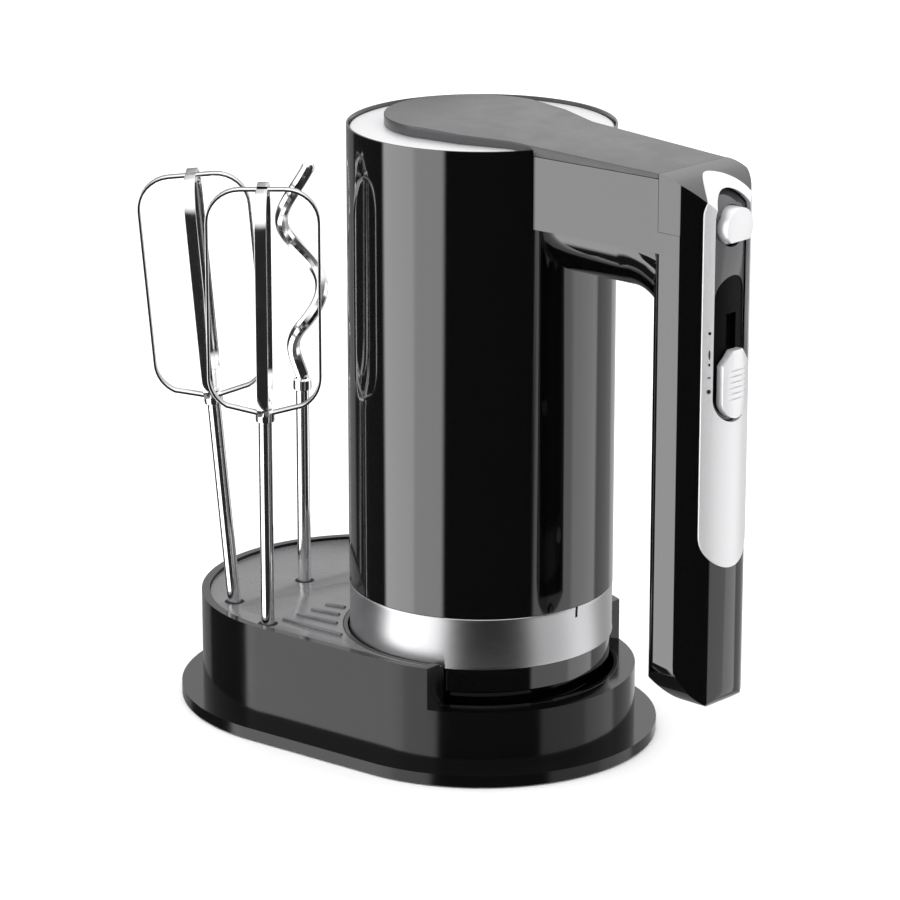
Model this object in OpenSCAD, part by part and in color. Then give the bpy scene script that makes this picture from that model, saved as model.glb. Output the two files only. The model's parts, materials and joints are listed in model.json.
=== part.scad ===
// Upright hand mixer on a storage dock: a round motor body with a hooked
// handle, two wire beaters and two dough hooks parked in the dock.
// Frame: +Z up, Z = 0 on the table, the motor body's axis is X = Y = 0,
// +X points from the body to the handle, -X to the parked attachments.

/* [Motor body] */
// Outer radius of the round motor body
body_r = 48; // [46:0.5:58]
// Height of the body's top rim above the table
body_top = 226.5; // [215:0.5:280]
// Wall of the moulded body and handle shells
shell_wall = 2.6; // [2:0.1:3.2]
// Height at which the steel band starts
band_z = 38.4; // [36:0.2:44]
// Height of the steel band
band_h = 19.2; // [14:0.2:24]
// Thickness of the steel band's sheet
band_t = 1.2; // [0.8:0.1:1.5]
// Height of the nose's underside above the table
nose_z = 22; // [20.5:0.5:25]
// How far the nose stands back from the body's skin
nose_step = 1; // [0.5:0.1:2]

/* [Handle] */
// Distance from the body's axis to the handle's inner face
handle_x = 92.5; // [88:0.5:112]
// Depth of the grip from inner to outer face
grip_depth = 24; // [22:0.5:29]
// Half width of the grip
grip_half = 17.7; // [16.5:0.1:19]
// Lowest point of the grip above the table
grip_z = 36; // [30:0.5:50]
// Half width of the arm where it leaves the body
arm_root_half = 23.5; // [21:0.5:28]
// Radius of the rounded underside of the arm
keel_r = 17.4; // [16:0.1:18.5]
// Inner corner radius between arm and grip
bend_r = 15; // [12:0.5:20]
// Outer corner radius over the controls
corner_r = 20; // [18.5:0.5:23]
// Depth from the outer face to the seam of the outer cover
seam_depth = 10.5; // [9:0.5:12]

/* [Top cover] */
// Thickness of the cover plate
cover_t = 3; // [2:0.1:4]
// Radius of the cover's round end
cover_r = 31; // [26:0.5:36]
// Offset of the round end's centre from the body's axis
cover_x = -5; // [-8:0.5:0]
// Radius of the silver deck under the cover, measured in from the body's skin
deck_inset = 0.8; // [0.6:0.1:1.5]

/* [Controls] */
// Height of the eject button's axis
button_z = 208; // [200:0.5:209]
// Radius of the eject button
button_r = 6.8; // [6:0.1:7.6]
// Travel of the eject button
eject_travel = 5; // [4:0.25:5.5]
// Height of the speed slider's centre when it is off
slider_z = 153.5; // [145:0.5:160]
// Travel of the speed slider from off to full speed
slider_travel = 20; // [16:1:24]
// Length of the slider's cap
slider_len = 24; // [20:0.5:28]
// Half width of the bright control panel
panel_half = 12.6; // [11.5:0.1:13.5]
// Half width of the dark inlay in it
inlay_half = 9.2; // [8.8:0.1:10]
// Bottom of the bright panel above the table
panel_z = 88; // [70:1:110]

/* [Dock] */
// Wall radius of the dock's end under the body
dock_r = 56.5; // [55:0.5:68]
// Wall radius of the dock's end under the attachments
dock_left_r = 62; // [58:0.5:75]
// Distance between the two ends' centres
dock_span = 57.7; // [50:0.5:70]
// Height of the dock's wall round the attachments
dock_h = 41; // [40:0.5:49]
// Height of the lower rim round the cradle
cradle_h = 25.5; // [24:0.5:30]
// X position of the step between the two rims
step_x = 22; // [18:0.5:28]
// How far the foot flange stands out from the wall
flange_out = 8; // [5:0.5:10]
// Height of the foot flange
flange_h = 4.8; // [3:0.2:6]
// Wall of the dock's mouldings
dock_wall = 3; // [2.4:0.1:3.5]

/* [Attachments] */
// Diameter of the attachments' stems
stem_d = 5; // [4.4:0.1:5.6]
// Width of a beater's cage
cage_w = 41; // [34:0.5:43]
// Length of a beater's cage
cage_l = 84; // [70:1:95]
// Free stem between the dock's deck and the cage
stem_free = 79; // [65:1:95]
// Stem length inside the dock or the mixer
stem_in = 16; // [14:0.5:17]
// Width of the cage's steel strip
strip_w = 4.2; // [3.5:0.1:5]
// Thickness of the cage's steel strip
strip_t = 1; // [0.8:0.1:1.4]
// Rod diameter of a dough hook
hook_rod = 5; // [4:0.1:5.5]
// Radius of a dough hook's coil, to the middle of the rod
hook_r = 8; // [6:0.5:10]
// Lean of the outer beater in its loose socket, degrees
beater_lean = 4.7; // [0:0.1:6]

/* [Drive] */
// Tooth module of the spindle gears
spindle_module = 1; // [1:0.05:1.1]
// Teeth of each spindle gear; their pitch circles meet on the body's axis
spindle_teeth = 36; // [34:2:40]
// Teeth of the intermediate pinion that drives one spindle gear
inter_small_teeth = 12; // [12:1:14]
// Tooth module of the first gear pair
motor_module = 0.8; // [0.75:0.05:0.85]
// Teeth of the motor pinion
motor_teeth = 12; // [12:1:14]
// Teeth of the intermediate wheel
inter_big_teeth = 42; // [38:1:44]
// Radius of the motor's rotor
rotor_r = 14; // [12:0.5:15.5]
// Length of the rotor's and stator's iron
iron_l = 36; // [28:1:42]
// Outer radius of the stator
stator_r = 30; // [28:0.5:31]

/* [Hidden] */

$fn = 64;
gap = 0.3;        // between pieces of bodies that move apart
seat = 0.1;       // between fixed pieces that sit in one another
run = 0.05;       // radial clearance of a running fit
eps = 0.01;
in_r = body_r - shell_wall;            // inside of the body tube
arm_z = body_top - 28;                 // axis of the arm's rounded keel
outer_x = handle_x + grip_depth;       // outer face of the grip
seam_x = outer_x - seam_depth;
bend_x = handle_x - bend_r;
bend_z = arm_z - keel_r - bend_r;
corner_x = outer_x - corner_r;
corner_z = body_top - 0.5 - corner_r;
heel_r = 9;                            // roundings of the grip's lower end
toe_r = 13;
plate_z = body_top - 3.2;              // underside of the silver deck
plate_t = 2;
arm_top = body_top - 2.4;           // top edge of the arm's side walls
cover_z = body_top + 2.8;              // top of the cover

// Stacking heights of the works, from the nose's floor upwards
nose_floor = 2.5;
lower_plate_z = nose_z + 14;
plate_thick = 3;
spindle_gear_z = lower_plate_z + plate_thick + 5;
spindle_gear_h = 8;
big_gear_z = spindle_gear_z + spindle_gear_h + 1.5;
big_gear_h = 5;
upper_plate_z = big_gear_z + big_gear_h + 2.5;
bridge_t = 2.5;
bridge_z = upper_plate_z + plate_thick + eject_travel + 2.5;
low_bracket_z = bridge_z + bridge_t + 2;
fan_z = low_bracket_z + plate_thick + 2;
fan_h = 7;
winding_h = 8;
iron_z = fan_z + fan_h + 2 + winding_h;
commutator_z = iron_z + iron_l + winding_h + 3;
commutator_h = 9;
commutator_r = 8;
top_bracket_z = commutator_z + commutator_h + 5;
shaft_top = top_bracket_z + plate_thick + 4;
board_z = shaft_top + 6;

// Shafts and spindles
shaft_r = 2.5;
pin_r = 2;
spindle_r = 5.5;
socket_r = stem_d / 2 + 0.03;          // bore that drives a stem
spindle_y = spindle_module * spindle_teeth / 2;
spindle_low = nose_z + 0.8;
spindle_top = upper_plate_z + plate_thick;
lug_w = 1.3;
lug_r = stem_d / 2 + 0.8;
rod_x = body_r - 10;                   // ejector rod's axis
rod_r = 2;
push_r = 1.9;                          // pins that push the stems out

// The intermediate shaft stands where both of its gear pairs mesh
inter_motor_d = motor_module * (motor_teeth + inter_big_teeth) / 2;
inter_spindle_d = spindle_module * (spindle_teeth + inter_small_teeth) / 2;
inter_y = (inter_motor_d * inter_motor_d - inter_spindle_d * inter_spindle_d
           + spindle_y * spindle_y) / (-2 * spindle_y);
inter_x = sqrt(inter_motor_d * inter_motor_d - inter_y * inter_y);

// Where the attachments stand: X and Y at the deck's surface
deck_z = dock_h - 1;
outer_beater_at = [-82.7, -45.1];
front_beater_at = [-56, -54];
near_hook_at = [-81, -10];
far_hook_at = [-56, 54];
cage_turn = 43;                        // one cage strip faces this way
lean_dir = cage_turn + 180;            // the outer beater leans this way
socket_depth = stem_in + 1;
socket_free = 1.1;                     // play round a stem in the dock
well_r = body_r + 2.4;                 // hole for the cradle cup
cup_in = body_r + 0.6;
cup_floor = 17;
cup_t = 2.5;
seat_z = nose_z - gap;
foot_h = 1;
base_z = foot_h;
base_t = 2;

// ---------- shapes shared by several pieces ----------

function arc_points(cx, cy, r, a0, a1, n) =
  [for (i = [0:n]) let (a = a0 + (a1 - a0) * i / n) [cx + r * cos(a), cy + r * sin(a)]];

module at_y(half) rotate([90, 0, 0]) linear_extrude(2 * half, center = true) children();

module ring(outer, inner, h) difference() {
  cylinder(r = outer, h = h);
  translate([0, 0, -1]) cylinder(r = inner, h = h + 2);
}

// Faces of a tube whose points come ring by ring
function tube_faces(sides, steps) = concat([[for (k = [0:sides - 1]) k]],
  [for (i = [0:steps - 1]) for (k = [0:sides - 1]) let (a = i * sides + k, b = i * sides + (k + 1) % sides)
    each [[a, a + sides, b + sides], [a, b + sides, b]]],
  [[for (k = [sides - 1:-1:0]) steps * sides + k]]);

// Outline of the dock's wall, drawn in by an inset
module dock_outline(inset) hull() {
  circle(r = dock_r - inset, $fn = 96);
  translate([-dock_span, 0]) circle(r = dock_left_r - inset, $fn = 96);
}

// Side view of the arm and grip, drawn in by a skin thickness
module side_outline(skin) hull() {
  translate([corner_x, corner_z]) circle(r = corner_r - skin, $fn = 96);
  translate([outer_x - heel_r, grip_z + heel_r]) circle(r = heel_r - skin, $fn = 64);
  translate([handle_x + toe_r, grip_z + heel_r + 11]) circle(r = toe_r - skin, $fn = 64);
  translate([0, corner_z - 60]) square([1, corner_r + 60 - skin]);
}

// The grip's outer half: a round back that runs over the corner
module crown(skin) intersection() {
  translate([corner_x, 0, grip_z - 5]) cylinder(r = corner_r - skin, h = body_top, $fn = 96);
  at_y(grip_half - skin) side_outline(skin);
  face_outline(grip_half - skin, grip_z + skin, body_top + 60);
}

// What belongs to the outer cover: beyond the seam, and the corner above
module cover_zone(shift) {
  translate([seam_x + shift, -50, 0]) cube([60, 100, 400]);
  translate([corner_x + shift, -50, corner_z + shift]) cube([60, 100, 400]);
}

// The grip's inner half in plan
module grip_plan(skin) hull() {
  for (s = [-1, 1]) translate([handle_x + 5, s * (grip_half - 5)]) circle(r = 5 - skin, $fn = 48);
  translate([corner_x + 1, -grip_half + skin]) square([seam_x - corner_x, 2 * (grip_half - skin)]);
}

module arm_plan(skin) polygon([
  [0, -arm_root_half + skin], [handle_x, -grip_half - 0.1 + skin],
  [seam_x, -grip_half + skin], [seam_x, grip_half - skin],
  [handle_x, grip_half + 0.1 - skin], [0, arm_root_half - skin]]);

// The arm, its bend and the grip as one solid
module hook(skin) intersection() {
  union() {
    translate([0, 0, arm_z]) linear_extrude(arm_top - arm_z) arm_plan(skin);
    translate([20, 0, arm_z]) rotate([0, 90, 0]) cylinder(r = keel_r - skin, h = bend_x - 20);
    translate([bend_x, 0, bend_z]) rotate([90, 0, 0])
      rotate_extrude(angle = 90) translate([bend_r + keel_r, 0]) circle(r = keel_r - skin);
    intersection() {
      translate([0, 0, grip_z - 4]) linear_extrude(body_top - grip_z) grip_plan(skin);
      face_outline(grip_half - skin, grip_z + skin, body_top + 60);
    }
  }
  at_y(40) side_outline(skin);
}

// Rounded strip seen from the outer face, between two heights
module face_outline(half, low, high) rotate([90, 0, 90]) linear_extrude(outer_x + 40) {
  translate([0, low + half]) circle(r = half);
  translate([0, high - half]) circle(r = half);
  translate([-half, low + half]) square([2 * half, high - low - 2 * half]);
}

// Involute gear outline, one tooth centred on +X
function involute(base, t) = [base * (cos(t) + t * PI / 180 * sin(t)),
                              base * (sin(t) - t * PI / 180 * cos(t))];
function turned(p, a) = [p[0] * cos(a) - p[1] * sin(a), p[0] * sin(a) + p[1] * cos(a)];
module gear(module_mm, teeth, thick, backlash = 0.16) {
  pitch = module_mm * teeth / 2;
  base = pitch * cos(20);
  tip = pitch + 0.9 * module_mm;
  root = pitch - 1.2 * module_mm;
  roll_tip = sqrt(tip * tip - base * base) / base * 180 / PI;
  start = max(root + 0.05, base);
  roll_start = sqrt(start * start - base * base) / base * 180 / PI;
  roll_pitch = tan(20) * 180 / PI;
  half = 90 / teeth - backlash / pitch * 90 / PI + roll_pitch - 20;
  steps = 5;
  flank = [for (i = [0:steps]) involute(base, roll_start + (roll_tip - roll_start) * i / steps)];
  outline = [for (k = [0:teeth - 1]) let (a = k * 360 / teeth) each concat(
    [turned([root, 0], a - half)],
    [for (p = flank) turned(p, a - half)],
    [for (i = [steps:-1:0]) turned([flank[i][0], -flank[i][1]], a + half)],
    [turned([root, 0], a + half)])];
  linear_extrude(thick) polygon(outline);
}

// Angle of a gear that meshes with a gear of another angle, seen along `dir`
function mesh_angle(dir, angle_a, teeth_a, teeth_b) =
  dir + 180 + ((dir - angle_a) * teeth_a / 360 + 0.5) * 360 / teeth_b;
left_angle = 0;                        // spindle gear at -Y
right_angle = mesh_angle(90, left_angle, spindle_teeth, spindle_teeth);
inter_dir = atan2(inter_y + spindle_y, inter_x);
inter_angle = mesh_angle(inter_dir, left_angle, spindle_teeth, inter_small_teeth);
motor_angle = mesh_angle(atan2(-inter_y, -inter_x), inter_angle, inter_big_teeth, motor_teeth);

// Countersunk or pan-head screw pointing up, its head's underside at Z = 0
module screw(r, length, head_r, head_h) {
  cylinder(r = r, h = length);
  difference() {
    translate([0, 0, -head_h]) cylinder(r = head_r, h = head_h);
    for (a = [0, 90]) rotate(a) translate([-head_r * 0.6, -0.4, -head_h - 1])
      cube([head_r * 1.2, 0.8, 1 + head_h * 0.5]);
  }
}

// ---------- dock ----------

module socket_places() for (p = [front_beater_at, near_hook_at, far_hook_at])
  translate([p[0], p[1], deck_z]) children();
module outer_socket_place() translate([outer_beater_at[0], outer_beater_at[1], deck_z])
  rotate(beater_lean, [-sin(lean_dir), cos(lean_dir), 0]) children();
deck_screws = [[-96, 24], [-96, -24]];
cup_screws = [[34, 28], [34, -28]];
screw_places = concat(deck_screws, cup_screws);
foot_places = [[-84, 36], [-84, -36], [20, 40], [20, -40]];
screw_boss_r = 4.5;
deck_t = 2.5;
ledge_w = 2;
socket_tube_r = 7;

module socket_tube(extra) translate([0, 0, -socket_depth - 2])
  cylinder(r = socket_tube_r + extra, h = socket_depth + 4);

module left_side(z) translate([-200, -100, z]) cube([200 + step_x - dock_wall, 200, 100]);

module dock_shell() color("#1b1b1d") difference() {
  union() {
    translate([0, 0, 0.6]) linear_extrude(flange_h - 0.6) dock_outline(-flange_out);
    translate([0, 0, 0.6]) linear_extrude(dock_h - 0.6) dock_outline(0);
  }
  // hollow underside
  translate([0, 0, -1]) linear_extrude(cradle_h - dock_wall + 1) dock_outline(dock_wall);
  // compartment under the deck, with a ledge that carries it
  intersection() {
    translate([0, 0, cradle_h - dock_wall - 1])
      linear_extrude(deck_z - deck_t - 2.5 - cradle_h + dock_wall + 1) dock_outline(dock_wall);
    left_side(0);
  }
  intersection() {
    translate([0, 0, cradle_h]) linear_extrude(dock_h) dock_outline(dock_wall + ledge_w);
    left_side(0);
  }
  intersection() {
    translate([0, 0, deck_z - deck_t]) linear_extrude(dock_h) dock_outline(dock_wall);
    left_side(0);
  }
  // room for the socket tubes in the ledge
  intersection() {
    union() {
      socket_places() socket_tube(seat);
      outer_socket_place() socket_tube(seat);
    }
    translate([0, 0, 1]) linear_extrude(dock_h) dock_outline(dock_wall);
  }
  // lower rim on the body's side
  translate([step_x, -100, cradle_h]) cube([100, 200, dock_h]);
  // well for the cradle cup
  translate([0, 0, -1]) cylinder(r = well_r, h = dock_h + 2);
}

module dock_deck() color("#2a2a2c") difference() {
  union() {
    intersection() {
      translate([0, 0, deck_z - deck_t + eps]) linear_extrude(deck_t - eps) dock_outline(dock_wall + seat);
      translate([-seat, 0, 0]) left_side(0);
    }
    intersection() {
      union() {
        socket_places() socket_tube(0);
        outer_socket_place() socket_tube(0);
      }
      translate([0, 0, deck_z - 100]) linear_extrude(100 - eps) dock_outline(dock_wall + seat);
    }
    // legs down to the base plate
    for (p = deck_screws) translate([p[0], p[1], base_z + base_t + eps])
      cylinder(r = screw_boss_r, h = deck_z - 1 - base_z - base_t);
  }
  socket_places() translate([0, 0, -socket_depth]) cylinder(r = stem_d / 2 + socket_free, h = 40);
  outer_socket_place() translate([0, 0, -socket_depth]) cylinder(r = stem_d / 2 + socket_free, h = 40);
  for (p = deck_screws) translate([p[0], p[1], 0]) cylinder(r = 1.5, h = 16);
  translate([0, 0, -1]) cylinder(r = well_r, h = dock_h + 2);
}

// Cup that the mixer's nose stands in
module dock_cradle() color("#1b1b1d") difference() {
  union() {
    translate([0, 0, cup_floor - cup_t]) cylinder(r = well_r - seat, h = deck_z - cup_floor + cup_t);
    // flange under the shell's lower rim
    translate([0, 0, cradle_h - dock_wall - 2.5]) cylinder(r = well_r + 2.4, h = 2.5 - eps);
    for (p = cup_screws) translate([p[0], p[1], base_z + base_t + eps])
      cylinder(r = screw_boss_r, h = cup_floor - 1 - base_z - base_t);
  }
  difference() {
    translate([0, 0, cup_floor]) cylinder(r = cup_in, h = dock_h);
    // seat ring
    ring(body_r - 7.5, body_r - 12, seat_z);
  }
  translate([step_x, -100, cradle_h]) cube([100, 200, dock_h]);
  for (p = cup_screws) translate([p[0], p[1], 0]) cylinder(r = 1.5, h = cup_floor - 2);
}

// Plate that closes the underside, with a column under the cup
module dock_base_plate() color("#2a2a2c") difference() {
  union() {
    translate([0, 0, base_z]) linear_extrude(base_t) dock_outline(dock_wall + 0.4);
    translate([0, 0, base_z]) ring(26, 23, cup_floor - cup_t - base_z - seat);
  }
  for (p = screw_places) translate([p[0], p[1], -1]) cylinder(r = 1.8, h = 6);
  for (p = screw_places) translate([p[0], p[1], base_z - 1]) cylinder(r = 3.4, h = 1 + base_t - 1);
}

module dock_feet() color("#111111") {
  cylinder(r = 12, h = foot_h - eps);
  for (p = foot_places) translate([p[0], p[1], 0]) cylinder(r = 7, h = foot_h - eps);
}

module dock_screws() color("#b9b9bc") for (p = screw_places)
  translate([p[0], p[1], base_z + base_t - 1]) screw(1.4, 9, 3.2, 0.95);

// ---------- mixer casings ----------

module body_shell() color("#0d0d0e") difference() {
  union() {
    translate([0, 0, band_z + band_h + seat])
      cylinder(r = body_r, h = body_top - band_z - band_h - seat, $fn = 128);
    difference() {
      hook(0);
      cover_zone(0);
    }
  }
  translate([0, 0, 0]) cylinder(r = in_r, h = 400, $fn = 128);
  translate([0, 0, plate_z]) cylinder(r = body_r - deck_inset, h = 20, $fn = 128);
  hook(shell_wall);
  // opening under the cover's arm
  translate([0, 0, body_top - 12]) linear_extrude(20) intersection() {
    arm_plan(shell_wall);
    translate([20, -40]) square([seam_x - 20 + 1, 80]);
  }
  translate([gland_x, 0, 0]) cylinder(r = gland_r + seat, h = grip_z + 30);
  for (p = handle_screw_places) translate([handle_x - 1, p[0], p[1]]) rotate([0, 90, 0]) {
    cylinder(r = 1.6, h = 12);
    cylinder(r = 3.2, h = 2.4);
  }
}

module deck_plate() color("#d9dadb") translate([0, 0, plate_z + eps])
  cylinder(r = body_r - deck_inset - seat, h = plate_t, $fn = 128);

// Spoon-shaped plate: a round end on the body and a tongue along the arm
module cover_plan(inset) difference() {
  union() {
    translate([cover_x, 0]) circle(r = cover_r - inset, $fn = 96);
    polygon([[cover_x, -cover_r + inset], [cover_x + 20, -cover_r + 3 + inset],
      [cover_x + 38, -grip_half - 4 + inset], [corner_x, -grip_half + inset],
      [corner_x, grip_half - inset], [cover_x + 38, grip_half + 4 - inset],
      [cover_x + 20, cover_r - 3 - inset], [cover_x, cover_r - inset]]);
  }
  translate([corner_x - inset, -50]) square([50, 100]);
}

module top_cover() color("#151516") difference() {
  translate([0, 0, arm_top + seat]) linear_extrude(cover_z - arm_top - seat) cover_plan(0);
  // seat on the silver deck, and the hollow underside
  translate([0, 0, plate_z - 5]) cylinder(r = body_r, h = 5 + plate_t + 2 * eps, $fn = 128);
  intersection() {
    translate([0, 0, plate_z]) linear_extrude(cover_z - cover_t - plate_z) cover_plan(2);
    translate([-100, -50, 0]) cube([125, 100, 400]);
  }
  // the top slopes gently down to the corner
  translate([0, 0, cover_z]) rotate([0, cover_slope, 0]) translate([0, -60, 0]) cube([150, 120, 20]);
}
cover_slope = atan((cover_z - body_top + 0.5) / corner_x);

module handle_cover() color("#0d0d0e") difference() {
  union() {
    intersection() {
      difference() { crown(0); crown(shell_wall); }
      cover_zone(seat);
    }
    for (p = handle_screw_places) translate([handle_x + shell_wall + seat, p[0], p[1]]) rotate([0, 90, 0])
      cylinder(r = 3.5, h = corner_x + corner_r - 7 - handle_x - shell_wall);
  }
  for (p = handle_screw_places) translate([handle_x, p[0], p[1]]) rotate([0, 90, 0])
    cylinder(r = 1.5, h = 16);
  intersection() {
    face_outline(panel_half + seat, panel_z - seat, panel_top + seat);
    difference() { crown_space(-5); crown_space(1.3); }
  }
  intersection() {
    face_outline(inlay_half + seat, inlay_low - seat, inlay_high + seat);
    translate([seam_x - 4, -50, 0]) cube([40, 100, 300]);
  }
  translate([gland_x, 0, 0]) cylinder(r = gland_r + seat, h = grip_z + 30);
}

// The crown's round back beyond the seam, without the flat sides
module crown_space(skin) intersection() {
  translate([corner_x, 0, grip_z - 5]) cylinder(r = corner_r - skin, h = body_top + 10, $fn = 96);
  at_y(40) side_outline(skin);
  translate([corner_x + 1, -50, 0]) cube([60, 100, 400]);
}
panel_top = body_top - 1.5;
inlay_low = slider_z - slider_len / 2 - 1.5;
inlay_high = panel_top - 4.5;

module control_panel() color("#cfd0d2") difference() {
  intersection() {
    face_outline(panel_half, panel_z, panel_top);
    difference() { crown_space(-0.3); crown_space(1.2); }
  }
  face_outline(inlay_half, inlay_low, inlay_high);
}

module control_inlay() color("#050505") difference() {
  intersection() {
    face_outline(inlay_half - seat, inlay_low + seat, inlay_high - seat);
    difference() { crown_space(1.6); crown_space(3.4); }
  }
  translate([seam_x - 5, 0, button_z]) rotate([0, 90, 0]) cylinder(r = button_r + gap, h = 30);
  translate([seam_x - 5, -slot_half, slider_z - stalk_half - gap])
    cube([40, 2 * slot_half, slider_travel + 2 * stalk_half + 2 * gap]);
}
slot_half = 2.6;
stalk_half = 4;

module steel_band() color("#c9cacc") difference() {
  translate([0, 0, band_z]) ring(body_r, body_r - band_t, band_h);
  rotate(lock_angle) translate([body_r - band_t - 1, -0.6, band_z + band_h - 4]) cube([5, 1.2, 6]);
}
lock_angle = -2;

module nose_cap() color("#0d0d0e") difference() {
  union() {
    rotate_extrude($fn = 128) polygon([
      [0, nose_z], [body_r - 6.5, nose_z], [body_r - 4, nose_z + 2.5], [body_r - 4, nose_z + 6.5],
      [body_r - nose_step, nose_z + 8], [body_r - nose_step, band_z - seat],
      [body_r - band_t - seat, band_z - seat], [body_r - band_t - seat, band_z + band_h],
      [in_r - seat, band_z + band_h], [in_r - seat, band_z + band_h + 8],
      [in_r - 2.6, band_z + band_h + 8], [in_r - 2.6, band_z + band_h - 1],
      [body_r - 6, band_z - 2], [body_r - 6, nose_z + nose_floor], [0, nose_z + nose_floor]]);
    for (a = nose_screw_angles) rotate(a) translate([nose_screw_r, 0, nose_z + 1])
      cylinder(r = 3.6, h = lower_plate_z - nose_z - 1 - eps);
  }
  for (s = [-1, 1]) translate([0, s * spindle_y, nose_z - 1]) cylinder(r = seal_r, h = 6);
  for (a = nose_screw_angles) rotate(a) translate([nose_screw_r, 0, nose_z - 1]) {
    cylinder(r = 1.7, h = 20);
    cylinder(r = 3.2, h = 2.2);
  }
  // air outlets
  for (a = [-36:12:36]) for (b = [0, 180]) rotate(a + b) translate([18, -1.2, nose_z - 1]) cube([10, 2.4, 6]);
}
seal_r = 8.5;
nose_screw_r = 34;
nose_screw_angles = [60, 180, 300];

module spindle_seals() color("#222222") for (s = [-1, 1]) translate([0, s * spindle_y, nose_z + 0.3])
  ring(seal_r - eps, spindle_r + run, 2);

module nose_screws() color("#b9b9bc") for (a = nose_screw_angles) rotate(a)
  translate([nose_screw_r, 0, nose_z + 1.2]) screw(1.45, lower_plate_z - nose_z + 1, 3.0, 1.1);

module cord_gland() color("#1a1a1a") translate([gland_x, 0, gland_z]) {
  ring(gland_r, lead_r + 0.05, 11);
  translate([0, 0, 8]) ring(gland_r + 1.2, lead_r + 0.05, 2);
}
gland_x = handle_x + 8.5;
gland_z = grip_z + 8;
gland_r = 4.4;
lead_r = 3;

module handle_screws() color("#b9b9bc") for (p = handle_screw_places)
  translate([handle_x + 1.39, p[0], p[1]]) rotate([0, 90, 0]) screw(1.4, 7.5, 3, 1);
handle_screw_places = [[9, grip_z + 34], [-9, grip_z + 84]];   // Y and Z

// ---------- gearbox ----------

module works_plate(z, r) difference() {
  translate([0, 0, z]) cylinder(r = r, h = plate_thick, $fn = 96);
  for (s = [-1, 1]) translate([0, s * spindle_y, z - 1]) cylinder(r = spindle_r + run, h = plate_thick + 2);
  translate([inter_x, inter_y, z - 1]) cylinder(r = pin_r, h = plate_thick + 2);
  for (a = pillar_angles) rotate(a) translate([pillar_r, 0, z - 1]) cylinder(r = 1.6, h = plate_thick + 2);
}
pillar_angles = [50, 130, 230, 310];
pillar_r = 38;

module gear_plate_lower() color("#8d8f92") difference() {
  works_plate(lower_plate_z, body_r - 6 - seat - 0.9);
  for (a = nose_screw_angles) rotate(a) translate([nose_screw_r, 0, 0]) cylinder(r = 1.5, h = 100);
}

module gear_plate_upper() color("#8d8f92") difference() {
  works_plate(upper_plate_z, in_r - 2.6 - seat);
  translate([0, 0, upper_plate_z - 1]) cylinder(r = shaft_r + 2, h = plate_thick + 2);
}

// Pillars and screws that hold the two gear plates together
module gear_plate_screws() color("#b9b9bc") for (a = pillar_angles) rotate(a)
  translate([pillar_r, 0, 0]) {
    translate([0, 0, lower_plate_z]) cylinder(r = 1.55, h = upper_plate_z + plate_thick - lower_plate_z);
    translate([0, 0, lower_plate_z + plate_thick + eps])
      cylinder(r = 3, h = upper_plate_z - lower_plate_z - plate_thick - 2 * eps);
    translate([0, 0, upper_plate_z + plate_thick + eps]) cylinder(r = 2.8, h = 1.4);
  }

module intermediate_pin() color("#b9b9bc") translate([inter_x, inter_y, lower_plate_z])
  cylinder(r = pin_r - eps, h = upper_plate_z + plate_thick - lower_plate_z);

module intermediate_gear() color("#e6e2d6") translate([inter_x, inter_y, 0]) rotate(inter_angle) difference() {
  union() {
    translate([0, 0, spindle_gear_z]) gear(spindle_module, inter_small_teeth, spindle_gear_h + 1.5 + eps);
    translate([0, 0, big_gear_z]) gear(motor_module, inter_big_teeth, big_gear_h);
    translate([0, 0, lower_plate_z + plate_thick + 0.5]) cylinder(r = 4, h = 5);
    translate([0, 0, big_gear_z]) cylinder(r = 4, h = big_gear_h + 2);
  }
  translate([0, 0, lower_plate_z]) cylinder(r = pin_r - eps + run, h = 60);
}

// Hollow spindle with two keyways for a stem's lugs
module spindle(s) translate([0, s * spindle_y, 0]) difference() {
  union() {
    translate([0, 0, spindle_low]) cylinder(r = spindle_r, h = spindle_top - spindle_low);
    translate([0, 0, lower_plate_z + plate_thick + 0.3]) cylinder(r = 7.5, h = spindle_gear_z - lower_plate_z - plate_thick - 0.3 - eps);
    translate([0, 0, spindle_top + 0.3 - eps]) ring(spindle_r + 1.6, spindle_r - 1, 1.2);
    translate([0, 0, spindle_top - eps]) cylinder(r = spindle_r, h = 1.5);
  }
  translate([0, 0, spindle_low - 1]) cylinder(r = socket_r, h = stem_in + 2);
  translate([0, 0, spindle_low]) cylinder(r = push_r + 0.4, h = 80);
  for (a = [0, 180]) rotate(a) translate([0, -lug_w / 2 - 0.1, spindle_low - 1])
    cube([lug_r + 0.1, lug_w + 0.2, stem_in + 2]);
}
module spindle_wheel(s, angle) translate([0, s * spindle_y, spindle_gear_z]) rotate(angle) difference() {
  gear(spindle_module, spindle_teeth, spindle_gear_h);
  translate([0, 0, -1]) cylinder(r = spindle_r + eps, h = spindle_gear_h + 2);
}
module spindle_left() color("#c4c6c8") spindle(-1);
module spindle_right() color("#c4c6c8") spindle(1);
module spindle_gear_left() color("#e6e2d6") spindle_wheel(-1, left_angle);
module spindle_gear_right() color("#e6e2d6") spindle_wheel(1, right_angle);

// ---------- motor ----------

module motor_pinion() color("#c9a94a") rotate(motor_angle) difference() {
  translate([0, 0, big_gear_z - 0.5]) gear(motor_module, motor_teeth, big_gear_h + 1);
  cylinder(r = shaft_r + eps, h = 100);
}

module motor_shaft() color("#b9b9bc") translate([0, 0, big_gear_z - 1.5])
  cylinder(r = shaft_r, h = shaft_top - big_gear_z + 1.5);

module motor_bearings() color("#b08d57") for (z = [low_bracket_z, top_bracket_z])
  translate([0, 0, z - 0.5]) ring(bearing_r - eps, shaft_r + run, plate_thick + 1);
bearing_r = 7;
bolt_r = 1.9;
bolt_ring = stator_r - 4.5;
spacer_r = 3;
fan_r = bolt_ring - spacer_r - 0.6;

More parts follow.
